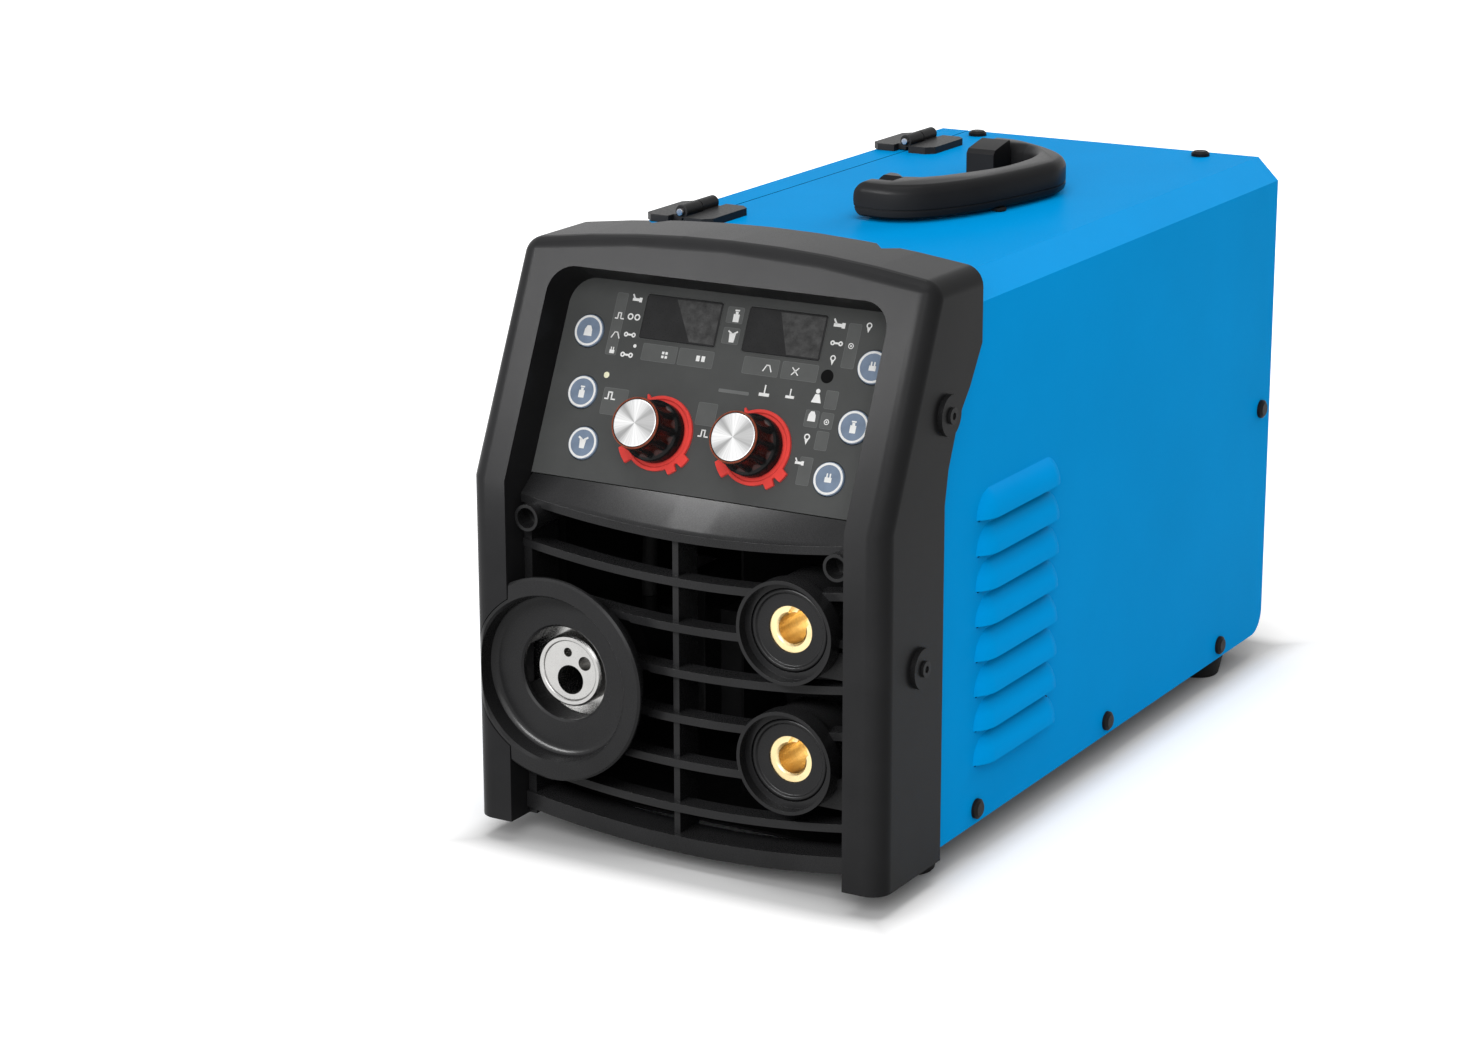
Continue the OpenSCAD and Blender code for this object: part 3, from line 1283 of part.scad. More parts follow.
module hinge_leaves() color([0.06, 0.06, 0.065]) for (y = hinge_places)
    translate([-seam_x, y, hinge_z]) leaf(0.3, hinge_l / 2 - 5);

module door_leaves() color([0.06, 0.06, 0.065]) for (y = hinge_places)
    translate([-seam_x, y, hinge_z]) mirror([1, 0, 0]) leaf(-hinge_l / 2 + 5, -0.3);

module pivot_pins() color([0.5, 0.5, 0.52]) {
    for (y = hinge_places) rod_y([-seam_x, y - hinge_l / 2 + 3, hinge_z], hinge_pin_r, hinge_l - 6);
    for (y = [[handle_front + 4, front_arm_w - 6], [bracket_rear - 15, rear_arm_w + 15]])
        rod_y([handle_pivot_x, y[0], handle_pivot_z], handle_pin_r, y[1]);
}

// Smooth outline through the points p.
function smooth(p, steps) = [for (k = [0 : len(p) - 2]) for (i = [0 : steps - 1])
    curve_point(p, k, i / steps), p[len(p) - 1]];

// Plan of the C-shaped handle, measured from its pivot and its front end.
module handle_plan() {
    e = -arm_end_r;
    l = handle_l;
    w = handle_reach;
    polygon(concat(
        [[e, 3.5]],
        smooth([[e + 4, 0.9], [10.5, 0], [w - 27.5, 7.5], [w - 17.5, 22.5], [w - 10, 41.5], [w - 4.5, 63.5],
            [w - 0.6, 86], [w, 97.5], [w - 3, 110], [w - 9, 119.5], [w - 19, l - 16.5], [w - 30, l - 8.5],
            [8, l - 1.5], [e + 4, l]], 4),
        [[e, l]],
        smooth([[e, l - rear_arm_w], [12.5, l - rear_arm_w], [18, l - rear_arm_w - 1.6],
            [w - 27, l - rear_arm_w - 7], [w - 21, 112], [w - 18.6, 94], [w - 20.5, 71.5], [w - 26, 55.5],
            [w - 34, 38]], 4),
        [[11.5, 30.6], [6, front_arm_w - 6.6], [1, front_arm_w - 1], [-3, front_arm_w], [e, front_arm_w]]));
}

module handle() color([0.08, 0.08, 0.085]) translate([handle_pivot_x, handle_front, handle_pivot_z])
    difference() {
        union() {
            intersection() {
                translate([0, 0, -handle_t / 2]) linear_extrude(handle_t) handle_plan();
                // round ends about the pivot
                union() {
                    rod_y([0, -1, 0], arm_end_r, handle_l + 2);
                    translate([0, -1, -handle_t]) cube([handle_l, handle_l + 2, 2 * handle_t]);
                }
            }
            // rest pads
            for (p = [[handle_reach - 9.5, 52], [handle_reach - 11, 112]])
                translate([p[0], p[1], -handle_t / 2 - 1.1]) cylinder(r = 3.5, h = 1.2);
        }
        // slot for the front bracket's lug, in every position of the handle
        translate([-handle_t, lug_y - handle_front - lug_w / 2 - lug_gap, -handle_t])
            cube([handle_t + lug_r + lug_gap, lug_w + 2 * lug_gap, 2 * handle_t]);
        rod_y([0, 3.4, 0], handle_pin_r + fit, handle_l);
    }

module handle_brackets() color([0.08, 0.08, 0.085]) translate([handle_pivot_x, 0, case_top]) {
    pin_z = handle_pivot_z - case_top;
    difference() {
        union() {
            rod_y([0, lug_y - lug_w / 2, pin_z], lug_r, lug_w);
            translate([-lug_r + 0.5, lug_y - lug_w / 2, 0.02]) cube([2 * lug_r - 1, lug_w, pin_z]);
        }
        rod_y([0, lug_y - lug_w, pin_z], handle_pin_r + fit, 2 * lug_w);
    }
    difference() {
        union() {
            along_x(-4.5, 14.5) polygon([[bracket_rear - bracket_l, 0.02], [bracket_rear, 0.02],
                [bracket_rear, handle_t + 3], [bracket_rear - 1.5, handle_t + 3.5],
                [bracket_rear - bracket_l + 2, handle_t + 0.6], [bracket_rear - bracket_l, handle_t - 1.4]]);
            rod_y([0, bracket_rear - 2, pin_z], lug_r - 1.5, 3.4);
        }
        rod_y([0, bracket_rear - 15.5, pin_z], handle_pin_r + fit, 30);
    }
}

// Quarter-turn latch: knob outside, shaft through the door, cam inside; shown turned to open.
module door_latch() color([0.07, 0.07, 0.075]) translate([0, latch_y, latch_z]) {
    rod_x([-half_w - 4 - seat_gap, 0, 0], 14, 4);
    translate([-half_w - 6.2, -13, -3]) cube([3, 26, 6]);
    rod_x([-half_w - 1, 0, 0], latch_shaft_r, sheet_t + 7);
    translate([-inner_x + 4, -5, -5]) cube([2.5, 21, 10]);
}

// ---------- feet and screws ----------

module feet() color([0.05, 0.05, 0.05]) for (p = foot_places) translate([p[0], p[1], 0]) difference() {
    union() {
        cylinder(r1 = foot_r - foot_taper - 1, r2 = foot_r - foot_taper, h = 1);
        translate([0, 0, 1 - eps]) cylinder(r1 = foot_r - foot_taper, r2 = foot_r, h = case_bottom - 1);
    }
    translate([0, 0, -1]) cylinder(r = screw_head_r + 1, h = 6);
    cylinder(r = screw_r + screw_gap, h = case_bottom + 1);
}

module case_screws() color([0.05, 0.05, 0.05]) {
    for (p = concat(side_screws, [rear_side_screw]))
        translate([half_w, p[0], p[1]]) rotate([0, 90, 0]) pan_screw();
    for (s = [-1, 1]) translate([s * rear_top_screw[0], rear_top_screw[1], case_top]) pan_screw();
    for (p = foot_places) translate([p[0], p[1], 5]) mirror([0, 0, 1]) {
        cylinder(r = screw_head_r, h = screw_head_h);
        translate([0, 0, -case_bottom + 2]) cylinder(r = screw_r, h = case_bottom - 1);
    }
    both_sides() for (p = boss_places) difference() {
        union() {
            rod_x([frame_x + boss_out + 0.02, p[0], p[1]], boss_head_r, boss_head_h);
            rod_x([half_w - 4, p[0], p[1]], boss_screw_r, frame_over + boss_out + 4.5);
        }
        translate([frame_x + boss_out + 0.4, p[0], p[1]]) rotate([0, 90, 0])
            cylinder(r = 1.7, h = 3, $fn = 6);
    }
    for (sx = [-1, 1], sz = [-1, 1]) translate([fan_x + sx * fan_hole, rear_y + 2.1, fan_z + sz * fan_hole])
        rotate([-90, 0, 0]) pan_screw();
}

at_origin() chassis_pan();
at_origin() centre_partition();
at_origin() cover();
at_origin() side_door();
at_origin() rear_panel();
at_origin() front_frame();
at_origin() front_grille();
at_origin() control_panel();
at_origin() display_windows();
at_origin() control_board();
at_origin() knob_rings();
at_origin() left_knob();
at_origin() left_knob_cap();
at_origin() right_knob();
at_origin() right_knob_cap();
at_origin() button_1();
at_origin() button_2();
at_origin() button_3();
at_origin() button_4();
at_origin() button_5();
at_origin() button_6();
at_origin() torch_flange();
at_origin() torch_connector();
at_origin() socket_housings();
at_origin() socket_inserts();
at_origin() feed_plate();
at_origin() feed_motor();
at_origin() drive_roll();
at_origin() pressure_arm();
at_origin() pressure_roll();
at_origin() tension_rod();
at_origin() tension_spring();
at_origin() tension_knob();
at_origin() spool_spindle();
at_origin() spool_hub();
at_origin() wire_spool();
at_origin() wound_wire();
at_origin() fan_frame();
at_origin() fan_rotor();
at_origin() fan_guard();
at_origin() inverter_board();
at_origin() heat_sink();
at_origin() transformer();
at_origin() output_choke();
at_origin() capacitors();
at_origin() output_links();
at_origin() gas_valve();
at_origin() gas_hose();
at_origin() gas_nipple();
at_origin() mains_gland();
at_origin() switch_housing();
at_origin() switch_rocker();
at_origin() hinge_leaves();
at_origin() door_leaves();
at_origin() pivot_pins();
at_origin() handle();
at_origin() handle_brackets();
at_origin() door_latch();
at_origin() feet();
at_origin() case_screws();
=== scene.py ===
"""Portable MIG welding machine: finishes, printed panel, knobs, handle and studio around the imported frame."""

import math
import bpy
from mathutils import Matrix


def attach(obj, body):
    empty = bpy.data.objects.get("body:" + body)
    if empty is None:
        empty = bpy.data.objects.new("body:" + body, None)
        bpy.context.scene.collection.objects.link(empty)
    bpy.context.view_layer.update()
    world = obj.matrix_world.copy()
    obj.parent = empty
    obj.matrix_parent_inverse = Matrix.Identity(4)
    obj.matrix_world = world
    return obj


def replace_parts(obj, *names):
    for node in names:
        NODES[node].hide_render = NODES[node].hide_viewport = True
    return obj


bl_info = {
    "name": "MIG Welding Machine",
    "version": (1, 0, 0),
    "blender": (4, 5, 0),
    "location": "View3D > Sidebar > Welder",
    "description": "Dresses the frame of a portable MIG welding machine and sets up a studio",
    "category": "Object",
}

import bpy
from bpy.props import FloatProperty, FloatVectorProperty, IntProperty, PointerProperty
from mathutils import Matrix, Quaternion, Vector

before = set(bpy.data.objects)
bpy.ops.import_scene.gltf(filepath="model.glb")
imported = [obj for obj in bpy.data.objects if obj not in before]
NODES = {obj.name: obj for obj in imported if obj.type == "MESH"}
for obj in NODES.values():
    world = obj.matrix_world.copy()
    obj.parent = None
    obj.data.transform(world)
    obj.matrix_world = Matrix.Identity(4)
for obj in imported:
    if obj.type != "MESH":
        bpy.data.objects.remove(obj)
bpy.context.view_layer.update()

MM = 0.001
FRONT_Y = -0.22025  # the front frame's face
LEAN = math.radians(25)
KINK_Z = 170
PANEL_DEPTH = 20.5
KNOB_X, KNOB_S = 24.3, 31.5  # across the panel and up its slope
SHARP_ANGLE = 32  # edges that turn further stay sharp, in degrees
WELD_GAP = 0.000002
FLAT_ANGLE = 0.6
BUTTON_PLACES = [(-70.6, 72.3), (-67, 45), (-61, 22.6), (71, 72.3), (68, 46), (61.5, 22.8)]


def at(x, y, z):
    """Point in metres from millimetres right of the middle, behind the front face and above the floor."""
    return Vector((x * MM, y * MM + FRONT_Y, z * MM))


def panel_matrix(x, s, h=0.0):
    """Frame on the control panel: X right, Y up the slope, Z out of the panel, h millimetres above it."""
    d = PANEL_DEPTH - h
    origin = at(x, s * math.sin(LEAN) + d * math.cos(LEAN), KINK_Z + s * math.cos(LEAN) - d * math.sin(LEAN))
    m = Matrix(((1, 0, 0), (0, math.sin(LEAN), -math.cos(LEAN)),
                (0, math.cos(LEAN), math.sin(LEAN)))).to_4x4()
    m.translation = origin
    return m


# ---------- finishes ----------


class Shader:
    """Small helper that wires one node material."""

    def __init__(self, name):
        self.material = bpy.data.materials.new(name)
        self.material.use_nodes = True
        self.tree = self.material.node_tree
        self.tree.nodes.clear()
        self.out = self.add("ShaderNodeOutputMaterial")
        self.surface = self.add("ShaderNodeBsdfPrincipled")
        self.link(self.surface, "BSDF", self.out, "Surface")
        self.place = self.add("ShaderNodeTexCoord")
        self.normal = None

    def add(self, kind, **settings):
        node = self.tree.nodes.new(kind)
        for key, value in settings.items():
            setattr(node, key, value)
        return node

    def link(self, a, out, b, into):
        self.tree.links.new(a.outputs[out], b.inputs[into])

    def stretched(self, scale):
        mapping = self.add("ShaderNodeMapping")
        mapping.inputs["Scale"].default_value = scale
        self.link(self.place, "Object", mapping, "Vector")
        return mapping

    def noise(self, scale, detail=3.0, rough=0.5, source=None, socket="Vector"):
        node = self.add("ShaderNodeTexNoise")
        node.inputs["Scale"].default_value = scale
        node.inputs["Detail"].default_value = detail
        node.inputs["Roughness"].default_value = rough
        if source is None:
            self.link(self.place, "Object", node, "Vector")
        else:
            self.link(source, socket, node, "Vector")
        return node

    def ramp(self, source, out, stops):
        node = self.add("ShaderNodeValToRGB")
        elements = node.color_ramp.elements
        while len(elements) < len(stops):
            elements.new(0.5)
        for element, (position, colour) in zip(elements, stops):
            element.position = position
            element.color = (*colour[:3], 1.0)
        self.link(source, out, node, "Fac")
        return node

    def ranged(self, source, out, low, high, start=0.0, end=1.0):
        node = self.add("ShaderNodeMapRange")
        node.inputs["From Min"].default_value = start
        node.inputs["From Max"].default_value = end
        node.inputs["To Min"].default_value = low
        node.inputs["To Max"].default_value = high
        self.link(source, out, node, "Value")
        return node

    def bump(self, source, out, distance, strength=1.0):
        node = self.add("ShaderNodeBump")
        node.inputs["Strength"].default_value = strength
        node.inputs["Distance"].default_value = distance
        self.link(source, out, node, "Height")
        if self.normal is not None:
            self.link(self.normal, "Normal", node, "Normal")
        self.normal = node
        self.link(node, "Normal", self.surface, "Normal")


def shade(colour, k):
    return tuple(min(1.0, max(0.0, c * k)) for c in colour[:3])


def coat(name, colour, roughness, metallic=0.0, tone=0.12, patch=25.0, grain=1800.0, depth=0.00003,
         spread=0.08, specular=0.5, stretch=None):
    """Procedural finish: slow tone change, fine grain in the gloss and in the surface."""
    s = Shader(name)
    p = s.surface.inputs
    p["Metallic"].default_value = metallic
    p["Specular IOR Level"].default_value = specular
    source = s.stretched(stretch) if stretch else None
    slow = s.noise(patch, 4.0, 0.6, source)
    tones = s.ramp(slow, "Fac", [(0.32, shade(colour, 1 - tone)), (0.68, shade(colour, 1 + tone))])
    s.link(tones, "Color", s.surface, "Base Color")
    fine = s.noise(grain, 2.0, 0.6, source)
    gloss = s.ranged(fine, "Fac", roughness - spread, roughness + spread, 0.3, 0.7)
    s.link(gloss, "Result", s.surface, "Roughness")
    if depth:
        s.bump(fine, "Fac", depth)
    return s


CASE_MIDDLE = (0.0, 0.0, 0.14)


def painted_shade_inside(s, inside):
    """Paints the faces that look into the case a dark colour of their own: painted shade for the inside of the
    case and the gaps under the louvres.
    """
    middle = s.add("ShaderNodeVectorMath", operation="SUBTRACT")
    middle.inputs[1].default_value = CASE_MIDDLE
    s.link(s.place, "Object", middle, 0)
    geometry = s.add("ShaderNodeNewGeometry")
    facing = s.add("ShaderNodeVectorTransform", vector_type="NORMAL", convert_from="WORLD",
                   convert_to="OBJECT")
    s.link(geometry, "True Normal", facing, "Vector")
    outward = s.add("ShaderNodeVectorMath", operation="DOT_PRODUCT")
    s.link(facing, "Vector", outward, 0)
    s.link(middle, "Vector", outward, 1)
    faces_out = s.add("ShaderNodeMath", operation="GREATER_THAN")
    faces_out.inputs[1].default_value = 0.0
    s.tree.links.new(outward.outputs["Value"], faces_out.inputs[0])
    paint = s.surface.inputs["Base Color"].links[0].from_socket
    pick = s.add("ShaderNodeMix", data_type="RGBA")
    pick.inputs["A"].default_value = (*inside, 1)
    s.tree.links.new(faces_out.outputs[0], pick.inputs["Factor"])
    s.tree.links.new(paint, pick.inputs["B"])
    s.tree.links.new(pick.outputs["Result"], s.surface.inputs["Base Color"])
    return s


def painted_shade_behind(s, y, colour):
    """Paints a metal piece dark behind the plane at y millimetres behind the front face: painted shade on the
    part inside the case.
    """
    split = s.add("ShaderNodeSeparateXYZ")
    s.link(s.place, "Object", split, "Vector")
    behind = s.add("ShaderNodeMath", operation="GREATER_THAN")
    behind.inputs[1].default_value = y * MM + FRONT_Y
    s.link(split, "Y", behind, 0)
    dark = s.add("ShaderNodeBsdfPrincipled")
    dark.inputs["Base Color"].default_value = (*colour, 1)
    dark.inputs["Roughness"].default_value = 0.6
    dark.inputs["Specular IOR Level"].default_value = 0.05
    either = s.add("ShaderNodeMixShader")
    s.link(behind, "Value", either, "Fac")
    s.link(s.surface, "BSDF", either, 1)
    s.link(dark, "BSDF", either, 2)
    s.link(either, "Shader", s.out, "Surface")
    return s


# Painted highlight: light and dark sectors that a cap brushed in circles shows under light, painted into its
# colour: part of a turn, tone
PAINTED_HIGHLIGHT_SECTORS = [(0.0, 0.55), (0.06, 0.62), (0.12, 0.45), (0.18, 0.8), (0.26, 1.0), (0.34, 0.75), (0.385, 0.42),
           (0.44, 0.8), (0.5, 1.0), (0.56, 0.85), (0.63, 0.38), (0.7, 0.85), (0.79, 1.0), (0.88, 0.9),
           (0.95, 0.5), (1.0, 0.55)]


def spun(name, colour, roughness, depth=0.000003):
    """Metal brushed in circles around the piece's own Z axis, with the light and dark sectors of its highlight
    painted into the colour.
    """
    s = Shader(name)
    s.surface.inputs["Metallic"].default_value = 1.0
    split = s.add("ShaderNodeSeparateXYZ")
    s.link(s.place, "Object", split, "Vector")
    flat = s.add("ShaderNodeCombineXYZ")
    s.link(split, "X", flat, "X")
    s.link(split, "Y", flat, "Y")
    radius = s.add("ShaderNodeVectorMath", operation="LENGTH")
    s.link(flat, "Vector", radius, 0)
    rings = s.add("ShaderNodeTexNoise", noise_dimensions="1D")
    rings.inputs["Scale"].default_value = 9000.0
    rings.inputs["Detail"].default_value = 2.0
    s.tree.links.new(radius.outputs["Value"], rings.inputs["W"])
    angle = s.add("ShaderNodeMath", operation="ARCTAN2")
    s.link(split, "Y", angle, 0)
    s.link(split, "X", angle, 1)
    part = s.ranged(angle, "Value", -0.5, 0.5, -math.pi, math.pi)
    whole = s.add("ShaderNodeMath", operation="WRAP")
    whole.inputs[1].default_value, whole.inputs[2].default_value = 1.0, 0.0
    s.link(part, "Result", whole, 0)
    # painted highlight: the sectors lighten and darken the colour by angle around the cap
    sectors = s.ramp(whole, "Value", [(t, shade(colour, k)) for t, k in PAINTED_HIGHLIGHT_SECTORS])
    streaks = s.add("ShaderNodeTexNoise", noise_dimensions="1D")
    streaks.inputs["Scale"].default_value = 55.0
    streaks.inputs["Detail"].default_value = 4.0
    s.tree.links.new(whole.outputs["Value"], streaks.inputs["W"])
    fine = s.ramp(streaks, "Fac", [(0.35, (0.86, 0.86, 0.86)), (0.65, (1.0, 1.0, 1.0))])
    both = s.add("ShaderNodeMix", data_type="RGBA", blend_type="MULTIPLY")
    both.inputs["Factor"].default_value = 1.0
    s.tree.links.new(sectors.outputs["Color"], both.inputs["A"])
    s.tree.links.new(fine.outputs["Color"], both.inputs["B"])
    s.tree.links.new(both.outputs["Result"], s.surface.inputs["Base Color"])
    gloss = s.ranged(rings, "Fac", roughness - 0.06, roughness + 0.06, 0.3, 0.7)
    s.link(gloss, "Result", s.surface, "Roughness")
    s.bump(rings, "Fac", depth)
    return s


FINISH = {}


def finish(name):
    return FINISH[name].material


def make_finishes(colours):
    """All the finishes, by a maker's name for each."""
    black = tuple(colours.moulding)
    made = [
        # the blue coat gets painted shade on the faces that look into the case
        painted_shade_inside(coat("blue powder coat", tuple(colours.case_blue), 0.42, tone=0.035, patch=9.0, grain=900.0,
                   depth=0.000012, spread=0.04, specular=0.004), shade(black, 0.6)),
        coat("textured black moulding", shade(black, 0.62), 0.34, tone=0.16, patch=16.0, grain=2600.0,
             depth=0.000015,
             spread=0.05, specular=0.045),
        coat("satin black moulding", shade(black, 0.45), 0.27, tone=0.18, patch=30.0, grain=3000.0,
             depth=0.000006,
             spread=0.05, specular=0.14),
        coat("black anodised", (0.012, 0.012, 0.0125), 0.4, tone=0.14, patch=60.0, grain=1500.0,
             depth=0.000004,
             spread=0.06, specular=0.12),
        coat("black powder coat", shade(black, 0.8), 0.42, tone=0.14, grain=900.0, depth=0.00003, spread=0.06,
             specular=0.07),
        # matt black inside is darker than the black powder coat: a real black coat, darkened further as painted
        # shade for the inside of the case
        coat("matt black inside", shade(black, 0.42), 0.6, tone=0.16, grain=900.0, depth=0.00003, spread=0.06,
             specular=0.04),
        coat("panel film", tuple(colours.panel), 0.5, tone=0.09, patch=32.0, grain=3500.0, depth=0.00001,
             spread=0.05, specular=0.1),
        coat("film field", shade(colours.panel, 1.45), 0.42, tone=0.06, patch=90.0, grain=3500.0,
             depth=0.000006,
             spread=0.04, specular=0.1),
        coat("field border", shade(colours.panel, 2.1), 0.42, tone=0.1, patch=90.0, grain=3500.0,
             depth=0.000006,
             spread=0.04, specular=0.1),
        coat("smoked window", (0.019, 0.019, 0.0195), 0.3, tone=0.25, patch=60.0, grain=2000.0, depth=0.0,
             spread=0.04, specular=0.16),
        # pale patch on the display windows: a painted reflection
        coat("display haze", (0.055, 0.055, 0.055), 0.3, tone=0.4, patch=240.0, grain=900.0, depth=0.0,
             spread=0.05, specular=0.16),
        coat("white print", (0.78, 0.78, 0.77), 0.5, tone=0.04, patch=300.0, grain=4000.0, depth=0.000004,
             spread=0.05, specular=0.2),
        coat("slate cap", tuple(colours.button), 0.42, tone=0.14, patch=140.0, grain=2500.0, depth=0.000008,
             spread=0.06, specular=0.2),
        coat("red moulding", tuple(colours.red), 0.42, tone=0.08, patch=120.0, grain=2200.0, depth=0.00001,
             spread=0.06, specular=0.2),
        coat("amber rim", (0.2, 0.045, 0.02), 0.34, 0.2, tone=0.35, patch=500.0, grain=2200.0, depth=0.00001,
             spread=0.08, specular=0.3),
        coat("maroon flute", (0.03, 0.005, 0.0035), 0.26, tone=0.5, patch=260.0, grain=1500.0, depth=0.0,
             spread=0.06, specular=0.25),
        # knob caps: brushed metal with painted highlight sectors
        spun("spun cap", (0.92, 0.92, 0.92), 0.42),
        # the torch connector is painted dark from 30 mm behind the front face, painted shade inside the case
        painted_shade_behind(coat("turned nickel", (0.46, 0.455, 0.445), 0.26, 1.0, tone=0.06, patch=90.0,
                              grain=2600.0, depth=0.000004, spread=0.05), 30.0, shade(black, 0.4)),
        coat("turned brass", (0.84, 0.66, 0.36), 0.3, 1.0, tone=0.1, patch=140.0, grain=1200.0,
             depth=0.000005,
             spread=0.05, stretch=(1, 12, 1)),
        coat("copper bar", (0.72, 0.36, 0.22), 0.34, 1.0, tone=0.18, patch=40.0, grain=600.0, depth=0.000006,
             spread=0.08, stretch=(1, 1, 14)),
        coat("turned steel", (0.5, 0.5, 0.52), 0.32, 1.0, tone=0.1, patch=50.0, grain=900.0, depth=0.000004,
             spread=0.06, stretch=(14, 1, 1)),
        coat("spring steel", (0.3, 0.3, 0.31), 0.34, 1.0, tone=0.15, patch=120.0, grain=1800.0,
             depth=0.000003,
             spread=0.08),
        coat("copper-coated wire", (0.64, 0.3, 0.17), 0.3, 1.0, tone=0.16, patch=160.0, grain=900.0,
             depth=0.0,
             spread=0.06),
        coat("laminated core", (0.05, 0.05, 0.055), 0.42, 0.5, tone=0.3, patch=12.0, grain=60.0, depth=0.0001,
             spread=0.1, stretch=(1, 12, 1)),
        coat("varnished winding", (0.42, 0.16, 0.05), 0.34, 0.7, tone=0.25, patch=60.0, grain=500.0,
             depth=0.00005, spread=0.08),
        coat("black rubber", (0.01, 0.01, 0.01), 0.7, tone=0.2, patch=40.0, grain=1500.0, depth=0.00004,
             spread=0.08, specular=0.12),
        coat("grey casting", (0.12, 0.125, 0.135), 0.5, tone=0.14, patch=50.0, grain=800.0, depth=0.00005,
             spread=0.08, specular=0.3),
        coat("blue sleeve", (0.012, 0.018, 0.05), 0.3, tone=0.15, patch=60.0, grain=1500.0, depth=0.0,
             spread=0.05, specular=0.4),
        coat("indicator lamp", (0.8, 0.78, 0.56), 0.34, tone=0.05, patch=300.0, grain=1500.0, depth=0.0,
             specular=0.3),
    ]
    for one in made:
        FINISH[one.material.name] = one
    board = coat("solder mask", (0.012, 0.11, 0.045), 0.36, tone=0.1, patch=60.0, grain=1200.0, depth=0.0,
                 spread=0.06, specular=0.3)
    tracks = board.add("ShaderNodeTexBrick")
    tracks.inputs["Scale"].default_value = 60.0
    tracks.inputs["Mortar Size"].default_value = 0.06
    tracks.inputs["Color1"].default_value = (0.012, 0.11, 0.045, 1)
    tracks.inputs["Color2"].default_value = (0.01, 0.09, 0.036, 1)
    tracks.inputs["Mortar"].default_value = (0.03, 0.2, 0.07, 1)
    turned = board.add("ShaderNodeMapping")
    turned.inputs["Rotation"].default_value = (0, 0, math.pi / 4)
    board.link(board.place, "Object", turned, "Vector")
    board.link(turned, "Vector", tracks, "Vector")
    board.link(tracks, "Color", board.surface, "Base Color")
    FINISH["solder mask"] = board


# ---------- meshes ----------


def outline_inset(points, d):
    """Closed outline moved inwards by d; the outline runs counter-clockwise."""
    n = len(points)
    out = []
    for i in range(n):
        a, b, c = Vector(points[i - 1]), Vector(points[i]), Vector(points[(i + 1) % n])
        u, v = (b - a).normalized(), (c - b).normalized()
        na, nb = Vector((-u.y, u.x)), Vector((-v.y, v.x))
        m = (na + nb) / max(0.35, 1 + na.dot(nb))
        out.append((b.x + m.x * d, b.y + m.y * d))
    return out


def circle(r, n=32, cx=0.0, cy=0.0, start=0.0):
    return [(cx + r * math.cos(start + 2 * math.pi * k / n), cy + r * math.sin(start + 2 * math.pi * k / n))
            for k in range(n)]


def rounded(w, h, r, cx=0.0, cy=0.0, n=5):
    points = []
    for sx, sy, a in ((1, -1, -90), (1, 1, 0), (-1, 1, 90), (-1, -1, 180)):
        for k in range(n + 1):
            t = math.radians(a + 90 * k / n)
            points.append((cx + sx * (w / 2 - r) + r * math.cos(t), cy + sy * (h / 2 - r) + r * math.sin(t)))
    return points


def smooth_line(points, steps):
    """Points of a smooth curve through the given ones."""
    out = []
    for k in range(len(points) - 1):
        a, b = points[max(k - 1, 0)], points[k]
        c, d = points[k + 1], points[min(k + 2, len(points) - 1)]
        for i in range(steps):
            t = i / steps
            out.append(tuple(0.5 * (2 * q + (r - p) * t + (2 * p - 5 * q + 4 * r - s) * t * t
                                    + (3 * q - p - 3 * r + s) * t ** 3) for p, q, r, s in zip(a, b, c, d)))
    out.append(tuple(points[-1]))
    return out


